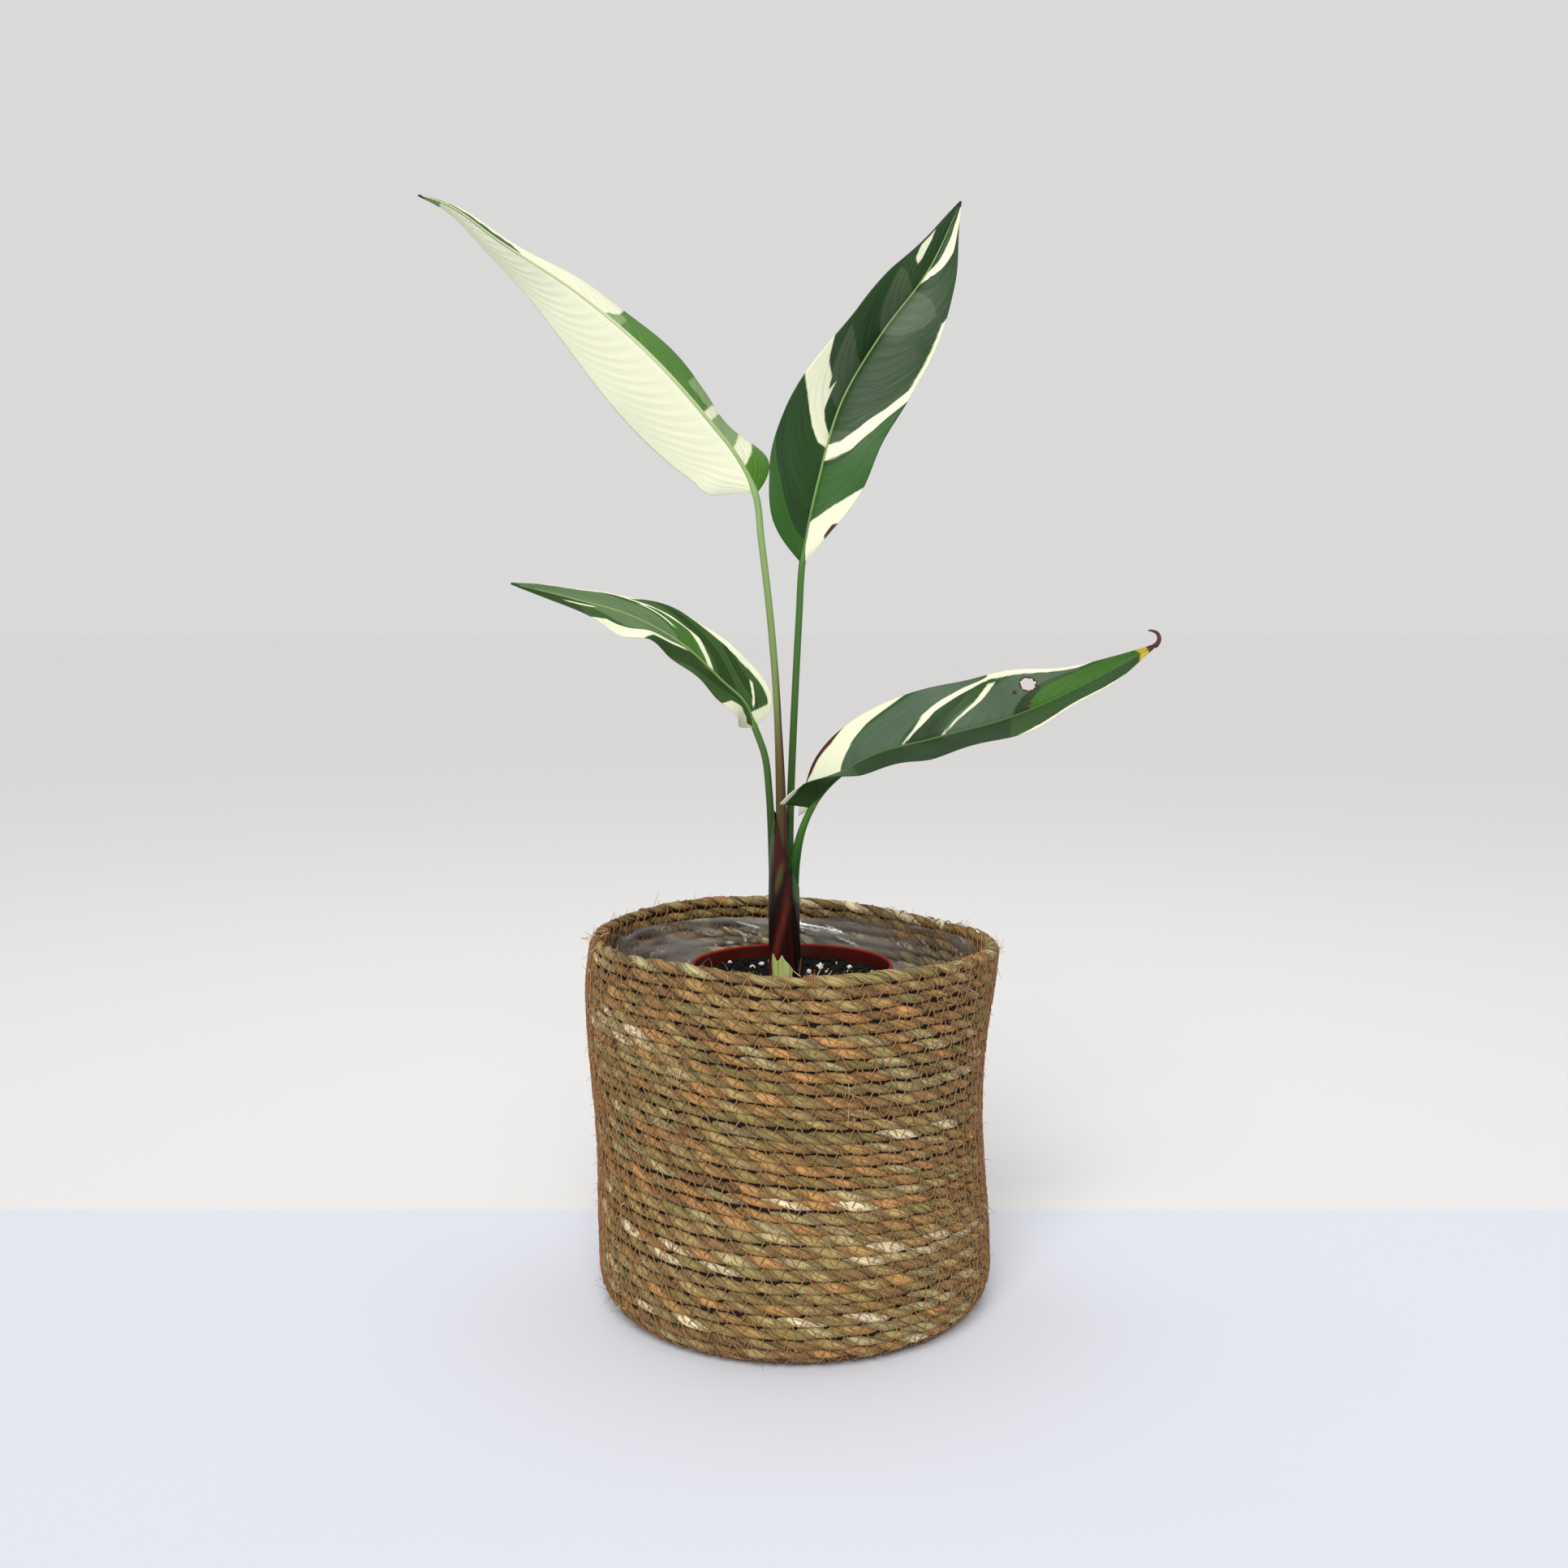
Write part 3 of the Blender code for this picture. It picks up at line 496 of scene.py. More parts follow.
def mapped(material, value, low=0.0, high=1.0, low_result=0.0, high_result=1.0):
    """The value, with the range from low to high spread over the range of results and held at its ends."""
    inputs = {0: value, 1: low, 2: high, 3: low_result, 4: high_result}
    return add(material, "ShaderNodeMapRange", inputs).outputs[0]


def worked_out(material, operation, *values):
    """The socket of a sum, product or like result of the values."""
    return add(material, "ShaderNodeMath", dict(enumerate(values)), operation=operation).outputs[0]


def stored(material, name, output="Color"):
    """The socket of what was stored at the piece's points under this name."""
    return add(material, "ShaderNodeAttribute", attribute_name=name).outputs[output]


def object_place(material):
    return add(material, "ShaderNodeTexCoord").outputs["Object"]


def pattern_place(material):
    return add(material, "ShaderNodeUVMap", uv_map="UVMap").outputs[0]


def stretched_noise(material, vector, stretch, detail=3.0):
    """Noise whose grain is one unit across after the vector is multiplied by the stretch."""
    mapping = add(material, "ShaderNodeMapping", {"Vector": vector, "Scale": stretch})
    inputs = {"Vector": mapping.outputs[0], "Scale": 1.0, "Detail": detail, "Roughness": 0.55}
    return add(material, "ShaderNodeTexNoise", inputs).outputs[0]


def smooth_values(knots, values, at):
    """Values of a smooth curve that passes through each knot."""
    knots, values, at = np.asarray(knots, float), np.asarray(values, float), np.asarray(at, float)
    slopes = np.gradient(values, knots, axis=0)
    left = np.clip(np.searchsorted(knots, at, side="right") - 1, 0, len(knots) - 2)
    span = knots[left + 1] - knots[left]
    share = (at - knots[left]) / span
    if values.ndim > 1:
        span, share = span[:, None], share[:, None]
    return (
        (2 * share**3 - 3 * share**2 + 1) * values[left]
        + (share**3 - 2 * share**2 + share) * span * slopes[left]
        + (3 * share**2 - 2 * share**3) * values[left + 1]
        + (share**3 - share**2) * span * slopes[left + 1]
    )


def lengths_along(points):
    steps = np.linalg.norm(np.diff(points, axis=0), axis=1)
    return np.concatenate(([0.0], np.cumsum(steps)))


def unit(vectors):
    return vectors / np.linalg.norm(vectors, axis=1, keepdims=True)


def drift(draw, lengths, spacing, amount):
    """A random wander along the lengths, which changes its course once every spacing."""
    knots = np.arange(0.0, lengths[-1] + 2 * spacing, spacing)
    return np.interp(lengths, knots, draw.uniform(-amount, amount, len(knots)))


def pick(piece):
    """Makes the piece the only one selected, and the active one."""
    bpy.ops.object.select_all(action="DESELECT")
    piece.select_set(True)
    bpy.context.view_layer.objects.active = piece


def edit(piece, *steps):
    """Runs edit mode steps on all of the piece."""
    pick(piece)
    bpy.ops.object.mode_set(mode="EDIT")
    bpy.ops.mesh.select_all(action="SELECT")
    for step in steps:
        step()
    bpy.ops.object.mode_set(mode="OBJECT")


def merge_points():
    bpy.ops.mesh.remove_doubles(threshold=0.000002)


def face_out():
    bpy.ops.mesh.normals_make_consistent(inside=False)


def apply_modifier(piece, kind, **settings):
    pick(piece)
    modifier = piece.modifiers.new(kind.lower(), kind)
    for key, value in settings.items():
        setattr(modifier, key, value)
    bpy.ops.object.modifier_apply(modifier=modifier.name)


def paint(piece, name, *columns):
    """Stores a colour at each point of the piece, opaque where the columns give it no alpha."""
    colours = np.column_stack(columns)
    if colours.shape[1] == 3:
        colours = np.column_stack((colours, np.ones(len(colours))))
    layer = piece.data.color_attributes.new(name, "FLOAT_COLOR", "POINT")
    layer.data.foreach_set("color", colours.astype(np.float32).ravel())


def measure(piece, name, values):
    """Stores a number at each point of the piece."""
    layer = piece.data.attributes.new(name, "FLOAT", "POINT")
    layer.data.foreach_set("value", np.asarray(values, dtype=np.float32))


def read_points(piece):
    """The piece's points, one in each row."""
    flat = np.empty(len(piece.data.vertices) * 3, dtype=np.float32)
    piece.data.vertices.foreach_get("co", flat)
    return flat.reshape(-1, 3)


def nearest_row(along, rows):
    """The number of the row that each share along the grid falls on."""
    return np.rint(along * (rows - 1)).astype(int)


def swung(first, second, turn):
    """Directions that swing from the first towards the second, by the turn."""
    return first * np.cos(turn)[:, None] + second * np.sin(turn)[:, None]


def bent_grid(name, columns, rows, surface):
    """A grid whose points are moved to the surface, a function of the shares across and along it."""
    bpy.ops.object.select_all(action="DESELECT")
    bpy.ops.mesh.primitive_grid_add(x_subdivisions=columns, y_subdivisions=rows, size=2)
    piece = bpy.context.object
    piece.name = name
    across, along = (read_points(piece)[:, :2].astype(float).T + 1) / 2
    points = surface(across, along)
    piece.data.vertices.foreach_set("co", np.asarray(points, dtype=np.float32).ravel())
    piece.data.update()
    return piece, across, along


def scale_pattern(piece, width, length):
    """Sets the piece's UV map, which runs from 0 to 1, to real millimetres."""
    layer = piece.data.uv_layers.active.data
    places = np.empty(len(layer) * 2, dtype=np.float32)
    layer.foreach_get("uv", places)
    places = places.reshape(-1, 2) * np.array((width, length), dtype=np.float32) * 1000
    layer.foreach_set("uv", places.ravel())


def settle(piece, material, slot, *nodes):
    """Gives the piece its finish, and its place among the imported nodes."""
    pick(piece)
    bpy.ops.object.shade_smooth()
    piece.data.materials.clear()
    piece.data.materials.append(material)
    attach(piece, "root")
    if nodes:
        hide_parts(*nodes)


def turned_piece(name, profile, sides, centre_x=0.0, shape=None):
    """A closed solid turned from a profile of (radius, z). The shape function may move its points."""
    radii, heights = np.array(profile).T

    def surface(across, along):
        row = nearest_row(along, len(radii))
        turn = 2 * math.pi * across
        points = np.stack((radii[row] * np.cos(turn), radii[row] * np.sin(turn), heights[row]), axis=1)
        points = shape(points) if shape else points
        return points + np.array((centre_x, 0.0, 0.0))

    piece, _, _ = bent_grid(name, sides, len(radii) - 1, surface)
    edit(piece, merge_points, face_out)
    return piece


def bar_piece(name, line, normals, radii, sides):
    """A closed bar along the line. The radii are its half sizes along the normals and across them."""
    tangent = unit(np.gradient(line, axis=0))
    normals = unit(normals - np.sum(normals * tangent, axis=1)[:, None] * tangent)
    sideways = np.cross(tangent, normals)
    radii = np.array(radii, dtype=float)
    radii[:, 0] = 0.0
    radii[:, -1] = 0.0

    def surface(across, along):
        row = nearest_row(along, len(line))
        turn = 2 * math.pi * across
        return (
            line[row] + normals[row] * (radii[0][row] * np.cos(turn))[:, None]
            + sideways[row] * (radii[1][row] * np.sin(turn))[:, None]
        )

    return bent_grid(name, sides, len(line) - 1, surface)


def basket_radius(z):
    heights, radii = zip(*BASKET_RADII)
    return smooth_values(heights, radii, np.clip(z, 0.0, BASKET_HEIGHT))


def basket_sway(z):
    """How far the basket leans to the left at a height."""
    return -BASKET_SWAY * np.sin(math.pi * np.clip(z / BASKET_HEIGHT, 0.0, 1.0) ** SWAY_BIAS)


def basket_place(turn, rise, depth):
    """A point of the basket: an angle round it, the length up its section, and the depth under its skin.

    The length up the section is counted along the middle of the rope, from where the flat base ends.
    """
    flat = STRAIGHT_RADIUS - FOOT_RADIUS
    bend = FOOT_RADIUS - ROPE_DEPTH
    swing = np.clip(rise / bend, 0.0, math.pi / 2)
    radius = flat + np.minimum(rise, 0.0) + (FOOT_RADIUS - depth) * np.sin(swing)
    z = FOOT_RADIUS - (FOOT_RADIUS - depth) * np.cos(swing) + np.maximum(rise - BEND_LENGTH, 0.0)
    x, y = radius * np.cos(turn), radius * np.sin(turn)
    share = np.clip((z - FOOT_RADIUS) / (BASKET_HEIGHT - FOOT_RADIUS), 0.0, 1.0)
    z = z - ROW_SLOPE * x * np.sin(math.pi * share) ** 2
    turns, lifts = zip(*RIM_LIFT)
    lift = smooth_values(turns, lifts, np.degrees(turn) % 360)
    z = z + lift * (np.clip(z, 0.0, None) / BASKET_HEIGHT) ** RIM_LIFT_FADE
    grown = basket_radius(z) - STRAIGHT_RADIUS
    scale = np.where(radius > STRAIGHT_RADIUS - 2 * FOOT_RADIUS, 1.0 + grown / radius, 1.0)
    return np.stack((x * scale + basket_sway(z), y * scale, z), axis=1)


def row_rise(rows):
    """How far up the section the rope is after so many rows. It climbs to the next one in a short stretch."""
    top = BEND_LENGTH + BASKET_HEIGHT - TOP_ROW_DROP - FOOT_RADIUS
    whole = np.floor(rows)
    climb = np.clip((rows - whole - (1 - CLIMB_SHARE)) / CLIMB_SHARE, 0.0, 1.0)
    climb = climb**2 * (3 - 2 * climb)
    return top - ROW_PITCH * np.maximum(ROPE_ROWS - 1 - whole - climb, 0.0)


def rope_frames(rows):
    """Points of the rope's middle after so many rows, with the directions out of the basket and up it."""
    turn = CLIMB_TURN + 2 * math.pi * rows
    rise = row_rise(rows)
    step = 0.0004
    up = unit(basket_place(turn, rise + step, ROPE_DEPTH) - basket_place(turn, rise - step, ROPE_DEPTH))
    ahead = unit(basket_place(turn + step, rise, ROPE_DEPTH) - basket_place(turn - step, rise, ROPE_DEPTH))
    return basket_place(turn, rise, ROPE_DEPTH), unit(np.cross(ahead, up)), up


def rope_stations():
    """Rows counted at equal steps along the whole rope, and the length there."""
    fine = np.linspace(0.0, ROPE_ROWS - 0.15 * CLIMB_SHARE, ROPE_ROWS * 240)
    lengths = lengths_along(rope_frames(fine)[0])
    stations = np.arange(0.0, lengths[-1], LAY / STATIONS_PER_LAY)
    return np.interp(stations, lengths, fine), stations


# Dry seagrass, twisted by hand: olive and tan blades, here and there a bleached one.
GRASS_TONES = (
    ("a5905a", 0.22), ("90814a", 0.18), ("ab8850", 0.20), ("b3a674", 0.13), ("b98c52", 0.12),
    ("8a6b3f", 0.10), ("eadbb0", 0.06),
)
PALE_TONE = len(GRASS_TONES) - 1


def strand_colours(draw, phase):
    """A colour for each station of a ply. It changes where the ply goes behind."""
    passes = np.floor(np.abs(phase) / (2 * math.pi) + 0.5).astype(int)
    shares = np.array([share for _, share in GRASS_TONES])
    shares = shares / shares.sum()
    tones = np.array([linear(tone)[:3] for tone, _ in GRASS_TONES])
    picks = []
    left = 0
    for _ in range(passes.max() + 1):
        if left == 0:
            tone = draw.choice(len(shares), p=shares)
            left = draw.integers(2, 4) if tone == PALE_TONE else draw.integers(1, 4)
        picks.append(tone)
        left -= 1
    shade = draw.uniform(0.92, 1.32, len(picks))
    return tones[np.array(picks)[passes]] * shade[passes][:, None]


def make_ply(name, rows, lengths, side, material):
    """One ply of the rope, wound round the rope's middle line. On the outside it runs down to the right."""
    draw = np.random.default_rng(41 + side)
    middle, out, up = rope_frames(rows)
    wander = drift(np.random.default_rng(5), lengths, *TWIST_WANDER)
    phase = -2 * math.pi * lengths / LAY + side * math.pi + wander
    phase = phase - 0.2 * np.sin(2 * phase)
    size = 1 + drift(draw, lengths, *LONG_SWELL) + drift(draw, lengths, *SHORT_SWELL)
    width = PLY_WIDTH * size * (1 + drift(draw, lengths, *WIDTH_SWELL))
    thick = PLY_THICKNESS * size
    taper = np.minimum(lengths - lengths[0], lengths[-1] - lengths) / PLY_END_TAPER
    taper = np.clip(taper, 0.0, 1.0)
    shared = np.random.default_rng(7)
    middle = middle + up * drift(shared, lengths, *RISE_WANDER)[:, None]
    middle = middle + out * drift(shared, lengths, *DEPTH_WANDER)[:, None]
    arm = swung(out, up, phase)
    flank = up * np.cos(phase)[:, None] - out * np.sin(phase)[:, None]

    def surface(across, along):
        row = nearest_row(along, len(rows))
        turn = 2 * math.pi * across
        reach = PLY_OFFSET + thick[row] * taper[row] * np.cos(turn)
        spread = width[row] * taper[row] * np.sin(turn)
        points = middle[row] + arm[row] * reach[:, None] + flank[row] * spread[:, None]
        points[:, 2] = np.maximum(points[:, 2], LEAST_HEIGHT)
        return points

    piece, across, along = bent_grid(name, PLY_SIDES, len(rows) - 1, surface)
    row = nearest_row(along, len(rows))
    # Painted shade: each ply's colour is darkened towards its flanks, where it tucks against the other ply
    # and the next rows.
    groove = np.abs(np.sin(2 * math.pi * across)) ** 6
    colours = strand_colours(draw, phase)[row] * (1 - 0.5 * groove)[:, None]
    paint(piece, "strand", colours)
    scale_pattern(piece, PLY_GIRTH, lengths[-1] - lengths[0])
    edit(piece, merge_points, face_out)
    settle(piece, material, "seagrass_rope", "basket")


def make_grass_material():
    """Dry seagrass: matt, with fine lengthwise fibres that catch the light one by one, and painted shade in
    its creases.
    """
    material = new_material("dry_seagrass", Roughness=0.78)
    strand = stored(material, "strand")
    place = pattern_place(material)
    fibre = stretched_noise(material, place, (1.6, 0.06, 1.0))
    blotch = stretched_noise(material, place, (0.25, 0.05, 1.0), detail=2.0)
    crease = stretched_noise(material, place, (0.42, 0.03, 1.0), detail=1.0)
    away = worked_out(material, "ABSOLUTE", worked_out(material, "SUBTRACT", crease, 0.5))
    open_share = mapped(material, away, 0.0, 0.03)
    fibre_tone = mapped(material, fibre, 0.3, 0.7, 0.72, 1.22)
    blotch_tone = mapped(material, blotch, 0.3, 0.7, 0.82, 1.16)
    # Painted shade: the narrow creases between the blades of grass are darkened to less than half.
    crease_painted_shade = mapped(material, open_share, low_result=0.42)
    tone = worked_out(material, "MULTIPLY", fibre_tone, blotch_tone)
    tone = worked_out(material, "MULTIPLY", tone, crease_painted_shade)
    feed(material, "Base Color", mixed(material, 1.0, strand, tone, "MULTIPLY"))
    bumped(material, worked_out(material, "ADD", fibre, open_share), 0.0005)
    return material


def make_gap_shade():
    """Painted shade: a thin near-black wall down the middle of the rope, which darkens the gaps between its
    rows.
    """
    # The wall's near-black colour is painted shade.
    material = new_material("painted_gap_shade", Roughness=0.95, Base_Color=linear("1a1008"))
    low, high = -STRAIGHT_RADIUS + FOOT_RADIUS, BEND_LENGTH + BASKET_HEIGHT - FOOT_RADIUS - 0.005

    def surface(across, along):
        return basket_place(2 * math.pi * across, low + (high - low) * along, ROPE_DEPTH)

    piece, _, _ = bent_grid("rope_gap_shade", 120, 90, surface)
    edit(piece, merge_points, face_out)
    apply_modifier(piece, "SOLIDIFY", thickness=0.001, offset=0.0)
    settle(piece, material, "seagrass_rope")


def curve_piece(name, strands, radius, material):
    """Thin round strands of the basket, each a list of points and of thicknesses, made into one mesh."""
    curve = bpy.data.curves.new(name, "CURVE")
    curve.dimensions = "3D"
    curve.bevel_depth = radius
    curve.bevel_resolution = 0
    curve.use_fill_caps = True
    for points, sizes in strands:
        spline = curve.splines.new("POLY")
        spline.points.add(len(points) - 1)
        spline.points.foreach_set("co", np.column_stack((points, np.ones(len(points)))).ravel())
        spline.points.foreach_set("radius", np.asarray(sizes, dtype=float))
    thing = bpy.data.objects.new(name, curve)
    bpy.context.scene.collection.objects.link(thing)
    pick(thing)
    bpy.ops.object.convert(target="MESH")
    piece = bpy.context.object
    edit(piece, merge_points)
    settle(piece, material, "seagrass_rope")


def stitch_rows(draw, first, last, side):
    """The zigzag thread of each row boundary: side 1 on the outside of the basket, -1 on its inside."""
    strands = []
    legs = int(2 * math.pi * STRAIGHT_RADIUS / THREAD_STEP)
    highest = row_rise(np.array([ROPE_ROWS - 1.0]))[0] + TOP_STITCH_RISE
    for row in range(first, last):
        starts = np.arange(legs) + draw.uniform(-0.2, 0.2, legs)
        at = np.repeat(starts, 3) + np.tile((0.0, 0.27, 0.73), legs)
        at = at + draw.uniform(-0.06, 0.06, len(at))
        rows = row + np.clip(at / legs, 0.0, 0.9999)
        part = np.tile(THREAD_BENDS, legs)[: len(at)]
        low, high = row_rise(rows), row_rise(rows + 1)
        sway = draw.uniform(-0.0007, 0.0007, len(at))
        rise = np.minimum(low + (high - low) * part + sway, highest)
        pierced = np.abs(part - 0.5) > 0.5
        lift = np.where(pierced, THREAD_DIP, THREAD_LIFT) + draw.uniform(-0.0003, 0.0002, len(at))
        points = basket_place(CLIMB_TURN + 2 * math.pi * rows, rise, ROPE_DEPTH - side * lift)
        points[:, 2] = np.maximum(points[:, 2], 2 * THREAD_RADIUS)
        strands.append((points, draw.uniform(0.8, 1.2, len(at))))
    return strands


def make_stitching():
    """Polished brown sewing thread: slim, a little fuzzy, drawn tight over the rope rows."""
    material = new_material("brown_sewing_thread", Roughness=0.65)
    place = object_place(material)
    patch = stretched_noise(material, place, (160.0, 160.0, 160.0))
    feed(material, "Base Color", mixed(material, patch, linear("7a4c2b"), linear("b58653")))
    draw = np.random.default_rng(11)
    outside = stitch_rows(draw, BASE_ROWS, ROPE_ROWS - 1, 1)
    inside = stitch_rows(draw, ROPE_ROWS - 1 - INSIDE_STITCH_ROWS, ROPE_ROWS - 1, -1)
    curve_piece("stitching", outside + inside, THREAD_RADIUS, material)
    over = rim_stitches(draw, np.sort(draw.random(RIM_STITCHES)), RIM_STITCH_SLANT)
    over += rim_stitches(draw, RIM_BINDING, BINDING_SLANT)
    curve_piece("rim_stitching", over, THREAD_RADIUS, material)
    return material


def rim_stitches(draw, places, slant):
    """Stitches that bind the top rope row: from its foot outside, over its crest, to its foot inside."""
    strands = []
    for place in places:
        rows = ROPE_ROWS - 1 + place + np.linspace(0.0, draw.uniform(-slant, slant), RIM_STITCH_POINTS)
        middle, out, up = rope_frames(np.clip(rows, ROPE_ROWS - 1, ROPE_ROWS - 0.02))
        swing = np.radians(np.linspace(-62, 242, RIM_STITCH_POINTS))
        reach = RIM_STITCH_REACH + draw.uniform(-0.0003, 0.0004)
        strands.append((middle + reach * swung(out, up, swing), draw.uniform(0.8, 1.2, RIM_STITCH_POINTS)))
    return strands


def fray(draw, start, out, length, curl):
    """One loose fibre: a bent strand of five points that leaves the start and thins to its tip."""
    heading = unit((out + draw.normal(0.0, 0.8, 3))[None, :])[0]
    bend = draw.normal(0.0, curl, 3)
    steps = np.linspace(0.0, 1.0, 5)[:, None]
    points = start + length * (heading * steps + bend * steps**2)
    points[:, 2] = np.maximum(points[:, 2], LOWEST_FRAY)
    return points, np.linspace(1.0, 0.35, 5)


def scattered_frays(draw, count, shortest, longest, curl):
    """Loose fibres at random places on the outside of the basket and along its rim."""
    rows = draw.uniform(BASE_ROWS + 1, ROPE_ROWS - 0.1, count)
    rim = draw.random(count) < 0.12
    rows = np.where(rim, draw.uniform(ROPE_ROWS - 1, ROPE_ROWS - 0.1, count), rows)
    middle, out, up = rope_frames(rows)
    swing = np.where(rim, draw.uniform(0.0, math.pi, count), draw.uniform(-0.9, 0.9, count))
    away = swung(out, up, swing)
    lengths = draw.uniform(shortest, longest, count) * draw.uniform(0.5, 1.0, count)
    return [
        fray(draw, place + side * FRAY_ROOT, side, length, curl)
        for place, side, length in zip(middle, away, lengths)
    ]


def tufts(draw, places):
    """Bunches of loose fibres, each at a place along the rope, with so many fibres up to so long."""
    strands = []
    for rows, count, longest in places:
        spread = np.clip(rows + draw.uniform(-0.003, 0.003, count), 0.0, ROPE_ROWS - 0.02)
        middle, out, up = rope_frames(spread)
        away = swung(out, up, draw.uniform(-0.5, 1.1, count))
        for place, side in zip(middle, away):
            length = longest * draw.uniform(0.5, 1.0)
            strands.append(fray(draw, place + side * TUFT_ROOT, side, length, TUFT_CURL))
    return strands


def make_frays(thread):
    """Loose ends of the sewing thread, and torn straw."""
    straw = new_material("loose_straw", Roughness=0.7)
    place = object_place(straw)
    patch = stretched_noise(straw, place, (90.0, 90.0, 90.0))
    feed(straw, "Base Color", mixed(straw, patch, linear("a8854a"), linear("e6d3a6")))
    draw = np.random.default_rng(23)
    brown = scattered_frays(draw, *THREAD_FRAYS) + tufts(draw, THREAD_TUFTS)
    curve_piece("thread_frays", brown, THREAD_FRAY_RADIUS, thread)
    pale = scattered_frays(draw, *STRAW_FRAYS) + tufts(draw, STRAW_TUFTS)
    curve_piece("grass_frays", pale, STRAW_RADIUS, straw)


def make_basket():
    rows, lengths = rope_stations()
    grass = make_grass_material()
    base = np.searchsorted(rows, BASE_ROWS)
    for side in (0, 1):
        make_ply(f"rope_ply_{side + 1}", rows[base:], lengths[base:], side, grass)
        make_ply(f"rope_base_ply_{side + 1}", rows[:base + 1], lengths[:base + 1], side, grass)
    make_gap_shade()
    make_frays(make_stitching())


def film_noise(around, level, grain_round, grain_up, seed):
    """Smooth noise over the film, with so many grains in a millimetre round the basket and up it."""
    places = zip(around * grain_round, level * grain_up)
    return np.array([noise.noise((across, up, seed)) for across, up in places])


def make_liner():
    """Clear packing film, hung loose inside the basket: creased, and painted white along its creases, partly
    as stress whitening and partly as painted highlight, with painted highlights at the glints.
    """
    material = new_material("clear_packing_film", Roughness=0.12, IOR=1.9, Base_Color=linear("b9b5b1"))
    # The crease share paints the film white and nearly opaque: painted highlights, partly stress whitening.
    crease = stored(material, "crease", "Fac")
    haze = mapped(material, stored(material, "milk", "Fac"), low_result=0.08, high_result=0.62)
    feed(material, "Alpha", mapped(material, crease, low_result=haze, high_result=0.95))
    feed(material, "Base Color", mixed(material, crease, linear("a39d97"), linear("ffffff")))
    inner = WALL + FILM_INSET
    straight = STRAIGHT_RADIUS - inner
    bend = FOOT_RADIUS - inner
    base_rows, bend_rows, wall_rows = FILM_ROWS
    values = {}

    def surface(across, along):
        row = along * (base_rows + bend_rows + wall_rows)
        turn = 2 * math.pi * across
        left, right = np.maximum(-np.cos(turn), 0.0), np.clip(np.cos(turn), 0.0, 1.0)
        edge = LINER_TOP + 0.0045 * left**2 + 0.0012 * np.sin(5 * turn) * np.cos(turn * 2)
        swing = np.clip((row - base_rows) / bend_rows, 0.0, 1.0) * math.pi / 2
        radius = (straight - bend) * np.clip(row / base_rows, 0.0, 1.0) + bend * np.sin(swing)
        upright = 1 - (1 - np.clip((row - base_rows - bend_rows) / wall_rows, 0.0, 1.0)) ** 1.7
        z = FILM_FLOOR + bend * (1 - np.cos(swing)) + upright * (edge - FILM_FLOOR - bend)
        radius = radius + (basket_radius(z) - STRAIGHT_RADIUS) * (upright > 0)
        level = 1000 * z + 22 * right - 4 * np.sin(3 * turn)
        around = 1000 * straight * turn
        fold = film_noise(around, level, *FILM_FOLDS)
        small = film_noise(around, level, *FILM_CREASES)
        cloud = film_noise(around, level, *FILM_CLOUDS)
        values["milk"] = np.clip(0.40 + 1.3 * cloud + 1.0 * small, 0.0, 1.0)
        # Thin creases are painted white, partly stress whitening and partly painted highlight; the glints are
        # painted highlights.
        values["crease"] = np.clip(1 - np.abs(small) / 0.03, 0.0, 1.0) * np.clip(3 * fold - 0.2, 0.0, 1.0)
        for middle, half, height, thick in FILM_GLINTS:
            away = (np.degrees(turn) - middle) / half
            line = (1000 * z - height - 2.2 * away) / thick
            glint = np.clip(1.6 - np.hypot(line, away**4), 0.0, 1.0)
            values["crease"] = np.maximum(values["crease"], glint)
        loose = np.clip(upright * 6, 0.0, 1.0)
        radius = radius - loose * (0.0016 + 0.0030 * fold + 0.0011 * small)
        return np.stack((radius * np.cos(turn) + basket_sway(z), radius * np.sin(turn), z), axis=1)

    piece, _, _ = bent_grid("film_liner", FILM_COLUMNS, sum(FILM_ROWS), surface)
    for key, field in values.items():
        measure(piece, key, field)
    edit(piece, merge_points, face_out)
    apply_modifier(piece, "SOLIDIFY", thickness=FILM_THICKNESS, offset=0.0)
    settle(piece, material, "clear_film", "liner")


